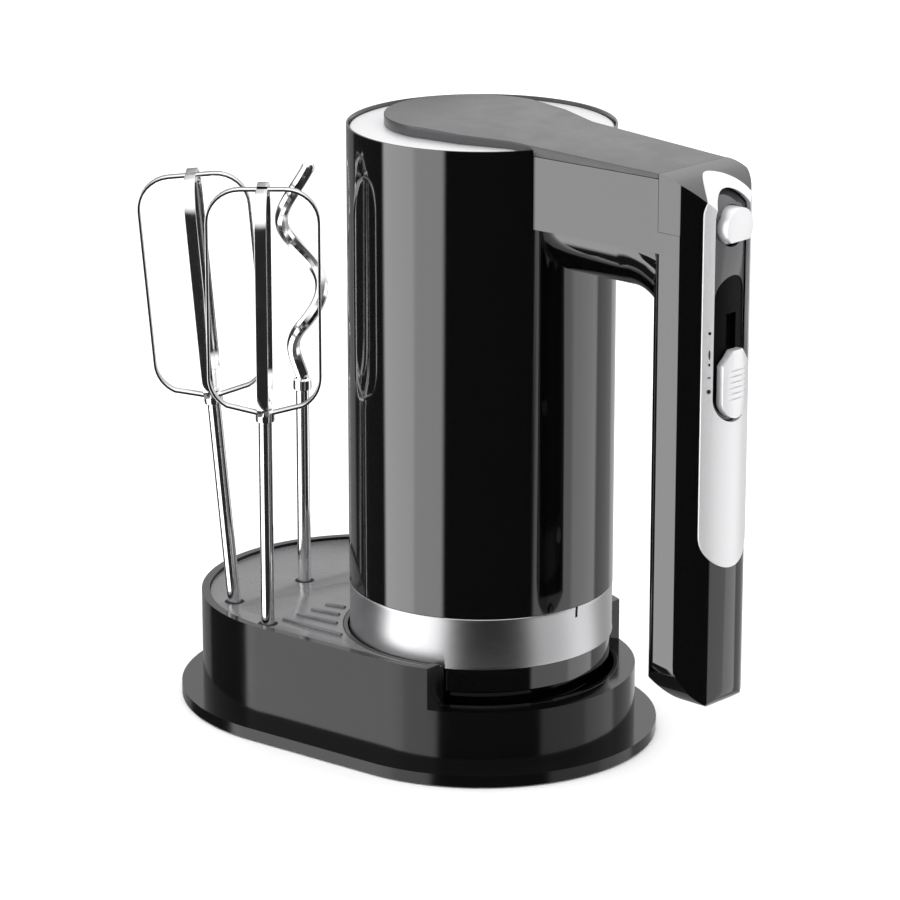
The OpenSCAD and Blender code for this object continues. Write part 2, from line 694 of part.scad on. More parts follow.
module bracket(z) difference() {
  union() {
    translate([0, 0, z]) ring(in_r - seat, 36, plate_thick);
    translate([0, 0, z]) cylinder(r = 12, h = plate_thick);
    for (a = [0, 90]) rotate(a + 45) translate([-in_r + 2, -5, z]) cube([2 * in_r - 4, 10, plate_thick]);
  }
  translate([0, 0, z - 1]) cylinder(r = bearing_r, h = plate_thick + 2);
  for (a = bolt_angles) rotate(a) translate([bolt_ring, 0, z - 1]) cylinder(r = bolt_r + eps, h = plate_thick + 2);
  translate([rod_x, 0, z - 1]) cylinder(r = rod_r + 0.6, h = plate_thick + 2);
}
bolt_angles = [45, 135, 225, 315];

module motor_bracket_lower() color("#2b2b2e") bracket(low_bracket_z);
module motor_bracket_upper() color("#2b2b2e") bracket(top_bracket_z);

module motor_bolts() color("#b9b9bc") for (a = bolt_angles) rotate(a) translate([bolt_ring, 0, 0]) {
  translate([0, 0, low_bracket_z]) cylinder(r = bolt_r, h = top_bracket_z + plate_thick - low_bracket_z);
  for (span = [[low_bracket_z + plate_thick + eps, iron_z - eps],
               [iron_z + iron_l + eps, top_bracket_z - eps]])
    translate([0, 0, span[0]]) cylinder(r = spacer_r, h = span[1] - span[0]);
}

// Laminated ring with two poles facing the rotor
module stator_core() color("#7c7f84") translate([0, 0, iron_z]) difference() {
  cylinder(r = stator_r, h = iron_l, $fn = 96);
  translate([0, 0, -1]) cylinder(r = rotor_r + 0.6, h = iron_l + 2, $fn = 96);
  for (s = [-1, 1]) translate([-coil_w, s > 0 ? rotor_r - 4 : -rotor_r + 4 - coil_d, -1])
    cube([2 * coil_w, coil_d, iron_l + 2]);
  for (a = bolt_angles) rotate(a) translate([bolt_ring, 0, -1]) cylinder(r = bolt_r + eps, h = iron_l + 2);
}
coil_w = 12;
coil_d = 10;

// Two field windings in the stator's windows, turned round above and below it
module field_coils() color("#a5572a") for (s = [-1, 1]) flip_y(s) difference() {
  translate([-coil_w + 0.4, rotor_r + 1.4, iron_z - 5])
    cube([2 * coil_w - 0.8, coil_d - 6, iron_l + 10]);
  translate([0, 0, iron_z - 6]) cylinder(r = rotor_r + 1, h = iron_l + 12);
}
module flip_y(s) if (s > 0) children(); else mirror([0, 1, 0]) children();

module armature_core() color("#8a8d92") translate([0, 0, iron_z]) difference() {
  cylinder(r = rotor_r, h = iron_l);
  translate([0, 0, -1]) cylinder(r = shaft_r + eps, h = iron_l + 2);
  for (a = [0:30:330]) rotate(a) translate([rotor_r - 4, -0.9, -1]) cube([6, 1.8, iron_l + 2]);
}

module armature_windings() color("#a5572a") {
  for (z = [iron_z - winding_h, iron_z + iron_l + eps]) translate([0, 0, z])
    rotate_extrude() polygon([[shaft_r + eps, 0], [rotor_r - 4, 0], [rotor_r - 1.5, 2],
      [rotor_r - 1.5, winding_h - 2 - eps], [rotor_r - 4, winding_h - eps], [shaft_r + eps, winding_h - eps]]);
}

module commutator() color("#c07a3f") translate([0, 0, commutator_z]) difference() {
  cylinder(r = commutator_r, h = commutator_h);
  translate([0, 0, -1]) cylinder(r = shaft_r + eps, h = commutator_h + 2);
  for (a = [0:30:330]) rotate(a) translate([commutator_r - 1.2, -0.25, -1]) cube([3, 0.5, commutator_h + 2]);
}

module carbon_brushes() color("#303030") for (s = [0, 180]) rotate(s)
  translate([commutator_r + gap, -2.5, commutator_z + 1.5]) cube([11, 5, 6]);

module brush_holders() color("#c9a94a") for (s = [0, 180]) rotate(s) {
  difference() {
    translate([commutator_r + 3, -3.6, commutator_z + 0.4]) cube([12, 7.2, 8.2]);
    translate([commutator_r + 2, -2.5 - eps, commutator_z + 1.5 - eps]) cube([11, 5 + 2 * eps, 6 + 2 * eps]);
  }
  // foot up to the bracket
  translate([commutator_r + 7, -3.6, commutator_z + 8.6 - eps])
    cube([5, 7.2, top_bracket_z - commutator_z - 8.6]);
}

module cooling_fan() color("#e6e2d6") translate([0, 0, fan_z]) difference() {
  union() {
    cylinder(r = fan_r, h = 1.5);
    cylinder(r = 6, h = fan_h);
    for (a = [0:40:320]) rotate(a) translate([8, -0.8, 1]) cube([fan_r - 8.6, 1.6, fan_h - 1]);
  }
  translate([0, 0, -1]) cylinder(r = shaft_r + eps, h = fan_h + 2);
}

// ---------- electrics ----------

module circuit_board() color("#2f6b3c") translate([0, 0, board_z]) {
  difference() {
    cylinder(r = 30, h = 1.6);
    translate([0, 0, -1]) cylinder(r = 4, h = 4);
  }
  translate([-14, -16, 1.6]) cube([20, 8, 9]);
  translate([-12, 8, 1.6]) cylinder(r = 5, h = 12);
  translate([6, 10, 1.6]) cylinder(r = 4, h = 8);
  // posts down to the upper bracket
  for (a = bolt_angles) rotate(a) translate([bolt_ring - 4.5, 0, top_bracket_z + plate_thick - board_z + eps])
    cylinder(r = 2, h = board_z - top_bracket_z - plate_thick);
}

// Leads inside the shells: board to switch, and switch to gland
module inner_leads() color("#7a1f1f") {
  lead_x = handle_x + 8.5;
  translate([26, 8, board_z + 1.7]) cylinder(r = 1.6, h = lead_z - board_z - 1.7);
  translate([26, 8, lead_z]) sphere(r = 1.6);
  translate([26, 8, lead_z]) rotate([0, 90, 0]) cylinder(r = 1.6, h = lead_x - 26);
  translate([lead_x, 8, lead_z]) sphere(r = 1.6);
  translate([lead_x, 8, switch_top + eps]) cylinder(r = 1.6, h = lead_z - switch_top - eps);
  translate([gland_x, 0, gland_z + 2]) cylinder(r = lead_r, h = switch_low - gland_z - 2 - eps);
}
lead_z = button_z + 8;
switch_low = slider_z - 15;
switch_top = slider_z + slider_travel + 12;

module switch_block() color("#3a3a3d") difference() {
  translate([handle_x + shell_wall + eps, -9, switch_low])
    cube([12, 18, switch_top - switch_low]);
  // groove for the slider's foot
  translate([handle_x + shell_wall + 7.4, -4, slider_z - 6 - gap])
    cube([10, 8, slider_travel + 12 + 2 * gap]);
}

// ---------- controls and ejector ----------

slider_front = outer_x + 1.4;
module speed_slider() color("#cfd0d2") {
  // cap with a pointed upper end
  intersection() {
    translate([outer_x - 4, 0, 0]) rotate([90, 0, 90]) linear_extrude(slider_front - outer_x + 4) union() {
      polygon([[-6.5, slider_z - slider_len / 2 + 6], [6.5, slider_z - slider_len / 2 + 6],
        [6.5, slider_z + slider_len / 2 - 5], [2.5, slider_z + slider_len / 2],
        [-2.5, slider_z + slider_len / 2], [-6.5, slider_z + slider_len / 2 - 5]]);
      translate([0, slider_z - slider_len / 2 + 6.5]) circle(r = 6.5);
    }
    translate([corner_x, 0, 0]) difference() {
      cylinder(r = corner_r + 1.4, h = 400, $fn = 96);
      cylinder(r = corner_r - 1.6 + gap, h = 400, $fn = 96);
    }
  }
  // stalk and foot
  translate([handle_x + shell_wall + 8.4, -slot_half + gap, slider_z - stalk_half])
    cube([corner_x + corner_r - 1 - handle_x - shell_wall - 8.4, 2 * (slot_half - gap), 2 * stalk_half]);
  translate([handle_x + shell_wall + 7.8, -3.6, slider_z - 6]) cube([3.4, 7.2, 12]);
}

button_front = outer_x + 1.4;
module eject_button() color("#cfd0d2") translate([0, 0, button_z]) rotate([0, 90, 0]) {
  difference() {
    translate([0, 0, button_front - 9]) cylinder(r = button_r, h = 9);
    // slanted thumb facet on the lower half
    translate([button_r + 2.2, 0, button_front - 0.5]) rotate([0, -38, 0]) cube([9, 30, 6], center = true);
  }
}

bar_r = 2.5;
wedge_x = rod_x + 1;
module eject_bar() color("#e6e2d6") {
  translate([wedge_x + 5, 0, button_z]) rotate([0, 90, 0])
    cylinder(r = bar_r, h = button_front - 9 - eps - wedge_x - 5);
  // 45 degree wedge over the ejector rod
  at_y(3) polygon([[rod_x - 4, button_z + 5], [wedge_x + 6, button_z + 5],
    [wedge_x + 6, button_z - 3], [rod_x + 4, button_z - 3]]);
}

// Bulkheads across the arm that guide the bar
module eject_guides() color("#2b2b2e") for (x = [guide_x, handle_x - 16]) difference() {
  intersection() {
    union() {
      translate([x, 0, arm_z]) rotate([0, 90, 0]) cylinder(r = keel_r - shell_wall - seat, h = 3);
      translate([x, -keel_r + shell_wall + seat, arm_z]) cube([3, 2 * (keel_r - shell_wall - seat), 60]);
    }
    translate([x - 1, -40, 0]) cube([5, 80, button_z + 5]);
  }
  translate([x - 1, 0, button_z]) rotate([0, 90, 0]) cylinder(r = bar_r + run, h = 5);
}
guide_x = rod_x + 18;

module ejector_bridge() color("#b9b9bc") {
  // follower under the wedge
  at_y(3) polygon([[rod_x - 4, follow(rod_x - 4)], [rod_x - 4, button_z - 9],
    [rod_x + 4, button_z - 9], [rod_x + 4, follow(rod_x + 4)]]);
  translate([rod_x, 0, bridge_z]) cylinder(r = rod_r, h = button_z - 8.5 - bridge_z);
  difference() {
    union() {
      translate([0, 0, bridge_z]) cylinder(r = 12, h = bridge_t);
      translate([0, -4, bridge_z]) cube([rod_x + 3, 8, bridge_t]);
      translate([-4, -spindle_y - 3, bridge_z]) cube([8, 2 * spindle_y + 6, bridge_t]);
    }
    translate([0, 0, bridge_z - 1]) cylinder(r = shaft_r + 2, h = bridge_t + 2);
  }
  for (s = [-1, 1]) translate([0, s * spindle_y, spindle_low + stem_in + 1.5])
    cylinder(r = push_r, h = bridge_z - spindle_low - stem_in);
  translate([rod_x, 0, collar_z]) cylinder(r = 4, h = 2);
}
function follow(x) = button_z + 5 - (x - rod_x + 4) - 1.5 * gap;
spring_z = low_bracket_z + plate_thick + gap;
spring_h = 14;
collar_z = spring_z + spring_h + gap;

// Return spring round the rod, between the lower bracket and a collar
module ejector_spring() color("#9a9c9f") spring(rod_x, rod_r + 1.4, 0.45, spring_z + 0.45, spring_h - 0.9, 5);
module spring(x, r, wire, z, h, turns) {
  steps = 16 * turns;
  sides = 6;
  points = [for (i = [0:steps]) let (a = 360 * turns * i / steps)
    for (k = [0:sides - 1]) let (b = 360 * k / sides, rr = r + wire * cos(b))
      [x + rr * cos(a), rr * sin(a), z + h * i / steps + wire * sin(b)]];
  polyhedron(points, tube_faces(sides, steps));
}

// ---------- attachments, drawn standing on the deck at Z = 0 ----------

module stem(length) {
  translate([0, 0, -stem_in]) cylinder(r = stem_d / 2, h = stem_in + length);
  for (a = [0, 180]) rotate(a) translate([0, -lug_w / 2, -stem_in + 1]) cube([lug_r, lug_w, 5]);
}

// Closed steel strip with rounded corners, seen from the side
module strip_loop(half) rotate([90, 0, 0]) linear_extrude(strip_w, center = true) difference() {
  loop_outline(half, 0);
  loop_outline(half, strip_t);
}
module loop_outline(half, inset) hull() {
  for (s = [-1, 1]) {
    translate([s * (half - 13), stem_free + 14]) circle(r = 12.5 - inset, $fn = 40);
    translate([s * (half - 12), stem_free + cage_l - 12]) circle(r = 12 - inset, $fn = 40);
  }
  translate([0, stem_free + cage_l / 2 + 2]) square([2 * (half - inset), cage_l / 3], center = true);
  translate([0, stem_free + 3]) square([8, 2 * (2 - inset)], center = true);
}
module beater() {
  stem(stem_free + 4);
  for (a = [0, 90]) rotate(cage_turn + a) strip_loop(cage_w / 2);
  translate([0, 0, stem_free + cage_l - strip_t - 0.8]) cylinder(r = 2.6, h = 2.2);
  translate([0, 0, stem_free - 1]) cylinder(r = stem_d / 2 + 1, h = 4);
}
module beater_outer() color("#dcdddf") outer_socket_place() beater();
module beater_front() color("#dcdddf") translate([front_beater_at[0], front_beater_at[1], deck_z]) beater();

// Rod that leaves the stem, swings out and climbs in a coil
module dough_hook(turn) {
  stem(stem_free + 2);
  translate([0, 0, stem_free - 4]) cylinder(r = stem_d / 2 + 1.2, h = 4);
  rings = 44;
  sides = 8;
  top = stem_free + cage_l - hook_rod / 2;
  function path(u) = let (out = min(1, u * 4), a = turn + 500 * u, r = hook_r * out * (1 - 0.15 * u))
    [r * cos(a), r * sin(a), stem_free + 1 + (top - stem_free - 1) * (u + 0.06 * sin(360 * u) / 2)];
  function unit(v) = v / norm(v);
  function ring_at(u) = let (t = unit(path(u + 0.004) - path(u - 0.004)), s = unit(cross(t, [cos(turn + 500 * u), sin(turn + 500 * u), 0.01])),
    n = cross(s, t), rr = hook_rod / 2 * (u > 0.96 ? sqrt(max(0.05, 1 - pow((u - 0.96) / 0.041, 2))) : 1))
    [for (k = [0:sides - 1]) path(u) + rr * (cos(360 * k / sides) * n + sin(360 * k / sides) * s)];
  points = [for (i = [0:rings]) each ring_at(i / rings)];
  polyhedron(points, tube_faces(sides, rings));
}
module dough_hook_near() color("#dcdddf") translate([near_hook_at[0], near_hook_at[1], deck_z]) dough_hook(200);
module dough_hook_far() color("#dcdddf") translate([far_hook_at[0], far_hook_at[1], deck_z]) dough_hook(20);

dock_shell();
dock_deck();
dock_cradle();
dock_base_plate();
dock_feet();
dock_screws();
body_shell();
deck_plate();
top_cover();
handle_cover();
steel_band();
nose_cap();
spindle_seals();
gear_plate_lower();
gear_plate_upper();
gear_plate_screws();
intermediate_pin();
motor_bracket_lower();
motor_bracket_upper();
motor_bearings();
stator_core();
field_coils();
motor_bolts();
brush_holders();
carbon_brushes();
circuit_board();
inner_leads();
switch_block();
cord_gland();
control_panel();
control_inlay();
handle_screws();
nose_screws();
eject_guides();
ejector_spring();
speed_slider();
eject_button();
eject_bar();
ejector_bridge();
motor_shaft();
armature_core();
armature_windings();
commutator();
cooling_fan();
motor_pinion();
intermediate_gear();
spindle_left();
spindle_gear_left();
spindle_right();
spindle_gear_right();
beater_outer();
beater_front();
dough_hook_near();
dough_hook_far();
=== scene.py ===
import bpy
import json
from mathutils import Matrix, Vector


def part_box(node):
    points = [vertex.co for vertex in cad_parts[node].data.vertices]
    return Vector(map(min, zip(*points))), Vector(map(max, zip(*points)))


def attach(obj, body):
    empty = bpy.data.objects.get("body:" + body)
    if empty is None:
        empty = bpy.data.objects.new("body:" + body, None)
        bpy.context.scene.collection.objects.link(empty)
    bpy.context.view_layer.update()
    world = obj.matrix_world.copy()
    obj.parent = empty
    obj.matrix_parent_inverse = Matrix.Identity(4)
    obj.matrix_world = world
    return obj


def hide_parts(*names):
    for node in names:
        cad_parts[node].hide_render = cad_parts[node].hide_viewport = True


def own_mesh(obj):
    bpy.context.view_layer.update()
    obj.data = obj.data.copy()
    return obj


bl_info = {
    "name": "Hand mixer on its dock",
    "version": (1, 0, 0),
    "blender": (4, 5, 0),
    "location": "View3D > Sidebar > Mixer",
    "description": "Builds an upright hand mixer, its storage dock, beaters and dough hooks",
    "category": "Object",
}

import json
import math

import bpy
from bpy.props import FloatProperty, FloatVectorProperty, IntProperty, PointerProperty
from mathutils import Matrix, Vector

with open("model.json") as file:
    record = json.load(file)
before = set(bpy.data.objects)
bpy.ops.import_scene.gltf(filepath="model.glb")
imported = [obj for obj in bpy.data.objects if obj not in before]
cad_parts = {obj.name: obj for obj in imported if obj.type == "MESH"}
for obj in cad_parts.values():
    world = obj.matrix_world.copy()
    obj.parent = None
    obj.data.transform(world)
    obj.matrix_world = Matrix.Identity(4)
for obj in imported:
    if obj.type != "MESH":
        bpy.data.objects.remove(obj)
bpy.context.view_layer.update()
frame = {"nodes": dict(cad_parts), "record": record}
NODES = frame["nodes"]
MM = 0.001


def low(node):
    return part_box(node)[0]


def high(node):
    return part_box(node)[1]


# Heights and radii that the pieces share, taken from the frame
BODY_R = high("steel_band").x
BAND_LOW, BAND_TOP = low("steel_band").z, high("steel_band").z
BODY_TOP = high("body_shell").z
DECK_Z = high("dock_deck").z

# Where the attachments stand on the dock, and how they lean and turn, in millimetres and degrees
FRONT_BEATER_AT = (-56, -54)
OUTER_BEATER_AT = (-82.7, -45.1)
OUTER_BEATER_LEAN = 4.7
BEATER_TURN = 43
NEAR_HOOK_AT, NEAR_HOOK_TURN = (-81, -10), 200
FAR_HOOK_AT, FAR_HOOK_TURN = (-56, 54), 20

# Rod and stem of an attachment, measured up from the dock's deck
STEM_R = 2.5 * MM
STEM_FOOT = -16 * MM
HOOK_ROD_R = 2.48 * MM

# Camera: degrees round and above the object, lens in millimetres, distances in body radii
CAMERA_AZIMUTH = 43.0
CAMERA_ELEVATION = 16.863
CAMERA_LENS = 165.34
CAMERA_BACK = 31.084
AIM_RIGHT, AIM_UP = -0.235, 2.202


# ---------- modelling helpers ----------

def deselect():
    for o in bpy.context.selected_objects:
        o.select_set(False)


def activate(obj):
    deselect()
    obj.select_set(True)
    bpy.context.view_layer.objects.active = obj


def open_edit(obj, mode="VERT"):
    activate(obj)
    bpy.ops.object.mode_set(mode="EDIT")
    bpy.ops.mesh.select_mode(type=mode)


def close_edit():
    bpy.ops.object.mode_set(mode="OBJECT")


def new_piece(name, add, **size):
    """A primitive under its own name, with nothing else selected."""
    deselect()
    add(**size)
    obj = bpy.context.object
    obj.name = obj.data.name = name
    return obj


def trace(name, points, close=False):
    """Draws a line of edges by pulling one vertex from point to point, and fills it if it closes."""
    obj = new_piece(name, bpy.ops.mesh.primitive_plane_add, size=MM)
    open_edit(obj)
    bpy.ops.mesh.select_all(action="SELECT")
    bpy.ops.mesh.merge(type="CENTER")
    bpy.ops.transform.translate(value=points[0])
    for a, b in zip(points, points[1:]):
        step = Vector(b) - Vector(a)
        bpy.ops.mesh.extrude_vertices_move(TRANSFORM_OT_translate={"value": step})
    if close:
        bpy.ops.mesh.select_all(action="SELECT")
        bpy.ops.mesh.edge_face_add()
    close_edit()
    return obj


def spin(obj, steps):
    """Turns a traced profile once round Z and closes the seam."""
    open_edit(obj)
    bpy.ops.mesh.select_all(action="SELECT")
    bpy.ops.mesh.spin(steps=steps, angle=2 * math.pi, center=(0, 0, 0), axis=(0, 0, 1))
    bpy.ops.mesh.select_all(action="SELECT")
    bpy.ops.mesh.remove_doubles(threshold=0.01 * MM)
    bpy.ops.mesh.normals_make_consistent(inside=False)
    close_edit()
    return obj


def pull(obj, step):
    """Extrudes the whole flat shape along a step and closes it."""
    open_edit(obj, "FACE")
    bpy.ops.mesh.select_all(action="SELECT")
    bpy.ops.mesh.extrude_region_move(TRANSFORM_OT_translate={"value": step})
    bpy.ops.mesh.select_all(action="SELECT")
    bpy.ops.mesh.normals_make_consistent(inside=False)
    close_edit()
    return obj


def modify(obj, kind, **settings):
    """Adds a modifier with its settings and applies it."""
    m = obj.modifiers.new(kind.title(), kind)
    for key, value in settings.items():
        setattr(m, key, value)
    activate(obj)
    bpy.ops.object.modifier_apply(modifier=m.name)
    return obj


def round_edges(obj, width, segments=3, angle=30):
    """Rounds every edge sharper than an angle in degrees."""
    return modify(obj, "BEVEL", width=width, segments=segments, limit_method="ANGLE",
                  angle_limit=math.radians(angle), harden_normals=False, use_clamp_overlap=True)


def cut(obj, cutter, operation="DIFFERENCE"):
    """Takes the cutter out of a piece, or keeps what they share, and removes the cutter."""
    modify(obj, "BOOLEAN", object=cutter, operation=operation, solver="EXACT")
    bpy.data.objects.remove(cutter)
    return obj


def join(name, objs):
    deselect()
    for o in objs:
        o.select_set(True)
    bpy.context.view_layer.objects.active = objs[0]
    if len(objs) > 1:
        bpy.ops.object.join()
    obj = bpy.context.object
    obj.name = obj.data.name = name
    return obj


def copy_of(obj, name):
    activate(obj)
    bpy.ops.object.duplicate(linked=False)
    made = bpy.context.object
    made.name = made.data.name = name
    return made


def casting(node, name, width):
    """A copy of a CAD node with its loose triangles merged into faces and its edges rounded."""
    activate(NODES[node])
    bpy.ops.object.duplicate(linked=False)
    obj = bpy.context.object
    obj.name = obj.data.name = name
    obj.parent = None
    for key in list(obj.keys()):
        del obj[key]
    open_edit(obj)
    bpy.ops.mesh.select_all(action="SELECT")
    bpy.ops.mesh.remove_doubles(threshold=0.002 * MM)
    bpy.ops.mesh.customdata_custom_splitnormals_clear()
    bpy.ops.mesh.dissolve_limited(angle_limit=math.radians(1.0), delimit=set())
    close_edit()
    if width:
        round_edges(obj, width)
    return obj


def place(obj, body, material, nodes=(), smooth=35):
    """Shades a finished piece and hands it to its moving body."""
    activate(obj)
    bpy.ops.object.transform_apply(location=True, rotation=True, scale=True)
    bpy.ops.object.shade_smooth_by_angle(angle=math.radians(smooth))
    obj.data.materials.clear()
    obj.data.materials.append(material)
    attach(obj, body)
    if nodes:
        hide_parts(*nodes)
    return obj


def arc(cx, cz, r, start, end, steps):
    """Points along an arc in a plane, between two angles in degrees."""
    turns = [math.radians(start + (end - start) * i / steps) for i in range(steps + 1)]
    return [(cx + r * math.cos(a), cz + r * math.sin(a)) for a in turns]


def xz(points):
    return [(x, 0.0, z) for x, z in points]


# ---------- finishes ----------

def tree(name):
    """A new material that takes the name over from the frame's plain one."""
    if name in bpy.data.materials:
        bpy.data.materials[name].name = "frame_" + name
    mat = bpy.data.materials.new(name)
    mat.use_nodes = True
    nodes, links = mat.node_tree.nodes, mat.node_tree.links
    return mat, nodes, links, nodes["Principled BSDF"]


def stretched_noise(nodes, links, scale, stretch=(1, 1, 1), detail=4.0):
    """Noise over the piece's own place in metres, drawn out along an axis if asked."""
    coords = nodes.new("ShaderNodeTexCoord")
    mapping = nodes.new("ShaderNodeMapping")
    mapping.inputs["Scale"].default_value = stretch
    noise = nodes.new("ShaderNodeTexNoise")
    noise.inputs["Scale"].default_value = scale
    noise.inputs["Detail"].default_value = detail
    links.new(coords.outputs["Object"], mapping.inputs["Vector"])
    links.new(mapping.outputs["Vector"], noise.inputs["Vector"])
    return noise.outputs["Fac"]


def span(nodes, links, source, low_value, high_value, source_low=0.35, source_high=0.65):
    """Spreads the middle of a noise over a range of values."""
    made = nodes.new("ShaderNodeMapRange")
    made.inputs["From Min"].default_value = source_low
    made.inputs["From Max"].default_value = source_high
    made.inputs["To Min"].default_value = low_value
    made.inputs["To Max"].default_value = high_value
    links.new(source, made.inputs["Value"])
    return made.outputs["Result"]


def tint(nodes, links, source, dark, light):
    mix = nodes.new("ShaderNodeMix")
    mix.data_type = "RGBA"
    mix.inputs["A"].default_value = (*dark, 1)
    mix.inputs["B"].default_value = (*light, 1)
    links.new(source, mix.inputs["Factor"])
    return mix.outputs["Result"]


def bump(nodes, links, source, shader, strength, depth):
    made = nodes.new("ShaderNodeBump")
    made.inputs["Strength"].default_value = strength
    made.inputs["Distance"].default_value = depth
    links.new(source, made.inputs["Height"])
    links.new(made.outputs["Normal"], shader.inputs["Normal"])


def scaled(colour, factor):
    return tuple(min(1.0, c * factor) for c in colour)


def moulded(name, colour, rough, grain=0.0, spread=0.08, specular=0.5):
    """Plastic: faint clouding in the colour, smudges in the gloss, and a moulded grain."""
    mat, nodes, links, shader = tree(name)
    cloud = stretched_noise(nodes, links, 35, detail=5)
    links.new(tint(nodes, links, cloud, scaled(colour, 1 - spread), scaled(colour, 1 + spread)),
              shader.inputs["Base Color"])
    smudge = stretched_noise(nodes, links, 90, detail=6)
    links.new(span(nodes, links, smudge, rough * 0.88, rough * 1.15), shader.inputs["Roughness"])
    shader.inputs["Specular IOR Level"].default_value = specular
    if grain:
        bump(nodes, links, stretched_noise(nodes, links, 2600, detail=2), shader, 0.35, grain * MM)
    else:
        bump(nodes, links, stretched_noise(nodes, links, 60, detail=1), shader, 0.05, 0.02 * MM)
    return mat


def metal(name, colour, rough, stretch=(1, 1, 1), scale=400.0, line_depth=0.01, spread=0.06,
          wear=0.3):
    """Metal: fine lines or mottling that changes colour, gloss and surface together."""
    mat, nodes, links, shader = tree(name)
    lines = stretched_noise(nodes, links, scale, stretch, detail=6)
    links.new(tint(nodes, links, lines, scaled(colour, 1 - spread), scaled(colour, 1 + spread)),
              shader.inputs["Base Color"])
    links.new(span(nodes, links, lines, rough * (1 - wear), rough * (1 + wear)),
              shader.inputs["Roughness"])
    shader.inputs["Metallic"].default_value = 1.0
    if line_depth:
        bump(nodes, links, lines, shader, 0.25, line_depth * MM)
    return mat


def painted_silver(name, colour, rough):
    """Silver paint: fine flakes in a clear binder, between metal and plastic."""
    mat, nodes, links, shader = tree(name)
    flakes = stretched_noise(nodes, links, 1500, detail=6)
    links.new(tint(nodes, links, flakes, scaled(colour, 0.93), scaled(colour, 1.07)),
              shader.inputs["Base Color"])
    links.new(span(nodes, links, flakes, rough * 0.85, rough * 1.2), shader.inputs["Roughness"])
    shader.inputs["Metallic"].default_value = 0.55
    bump(nodes, links, flakes, shader, 0.2, 0.003 * MM)
    return mat


def wound_copper(name, colour):
    """Enamelled wire: fine rings of turns across the winding, with painted shade darkening the grooves
    between turns.
    """
    mat, nodes, links, shader = tree(name)
    coords = nodes.new("ShaderNodeTexCoord")
    wave = nodes.new("ShaderNodeTexWave")
    wave.bands_direction = "Z"
    wave.inputs["Scale"].default_value = 900
    wave.inputs["Distortion"].default_value = 1.5
    wave.inputs["Detail Scale"].default_value = 3
    links.new(coords.outputs["Object"], wave.inputs["Vector"])
    # the rings fall to under half the copper's colour where the bump sinks between turns: painted shade
    links.new(tint(nodes, links, wave.outputs["Fac"], scaled(colour, 0.45), colour),
              shader.inputs["Base Color"])
    shader.inputs["Metallic"].default_value = 0.7
    links.new(span(nodes, links, wave.outputs["Fac"], 0.45, 0.3, 0, 1),
              shader.inputs["Roughness"])
    bump(nodes, links, wave.outputs["Fac"], shader, 0.6, 0.15 * MM)
    return mat


def laminated(name, colour):
    """Iron punched from thin sheets stacked along Z."""
    mat, nodes, links, shader = tree(name)
    coords = nodes.new("ShaderNodeTexCoord")
    wave = nodes.new("ShaderNodeTexWave")
    wave.bands_direction = "Z"
    wave.inputs["Scale"].default_value = 320
    links.new(coords.outputs["Object"], wave.inputs["Vector"])
    links.new(tint(nodes, links, wave.outputs["Fac"], scaled(colour, 0.6), colour),
              shader.inputs["Base Color"])
    rough = stretched_noise(nodes, links, 500, detail=4)
    links.new(span(nodes, links, rough, 0.3, 0.5), shader.inputs["Roughness"])
    shader.inputs["Metallic"].default_value = 0.9
    bump(nodes, links, wave.outputs["Fac"], shader, 0.5, 0.1 * MM)
    return mat


def board(name, colour):
    """Glass fibre board: a fine weave under green lacquer."""
    mat, nodes, links, shader = tree(name)
    coords = nodes.new("ShaderNodeTexCoord")
    checks = nodes.new("ShaderNodeTexChecker")
    checks.inputs["Scale"].default_value = 1600
    links.new(coords.outputs["Object"], checks.inputs["Vector"])
    links.new(tint(nodes, links, checks.outputs["Fac"], scaled(colour, 0.75), scaled(colour, 1.2)),
              shader.inputs["Base Color"])
    shine = stretched_noise(nodes, links, 200, detail=4)
    links.new(span(nodes, links, shine, 0.2, 0.35), shader.inputs["Roughness"])
    bump(nodes, links, checks.outputs["Fac"], shader, 0.3, 0.03 * MM)
    return mat


# ---------- settings shown in the panel ----------

def length(name, default, description):
    return FloatProperty(name=name, default=default, description=description,
                         subtype="DISTANCE", unit="LENGTH", min=0.0, precision=5)


def paint(name, default, description):
    return FloatVectorProperty(name=name, default=default, description=description,
                               subtype="COLOR", size=3, min=0.0, max=1.0)


class MixerSizes(bpy.types.PropertyGroup):
    edge: length("Edge rounding", 0.6 * MM, "Radius worn into the edges of the large mouldings")
    cover_edge: length("Cover rounding", 1.2 * MM, "Radius round the rim of the spoon-shaped cover")
    deck_edge: length("Deck plate rounding", 1.0 * MM, "Radius round the top of the silver deck plate")
    band_lip: length("Band lip", 0.5 * MM, "Rolled edge along the top and foot of the steel band")
    rib_height: length("Dock rib height", 0.9 * MM, "How far the ribs stand above the dock's deck")
    rib_width: length("Dock rib width", 1.6 * MM, "Width of one rib on the dock's deck")
    rib_pitch: length("Dock rib pitch", 7.4 * MM, "Distance from one rib to the next")
    ribs: IntProperty(name="Dock ribs", default=4, min=1, max=8,
                      description="Number of ribs on the dock's deck")
    groove: length("Slider groove pitch", 2.0 * MM, "Distance between the speed slider's grooves")
    grooves: IntProperty(name="Slider grooves", default=6, min=2, max=12,
                         description="Grip grooves across the speed slider")
    wire: length("Spring wire", 0.5 * MM, "Radius of the ejector spring's wire")
    turns: IntProperty(name="Spring turns", default=6, min=3, max=12,
                       description="Turns of the ejector spring")


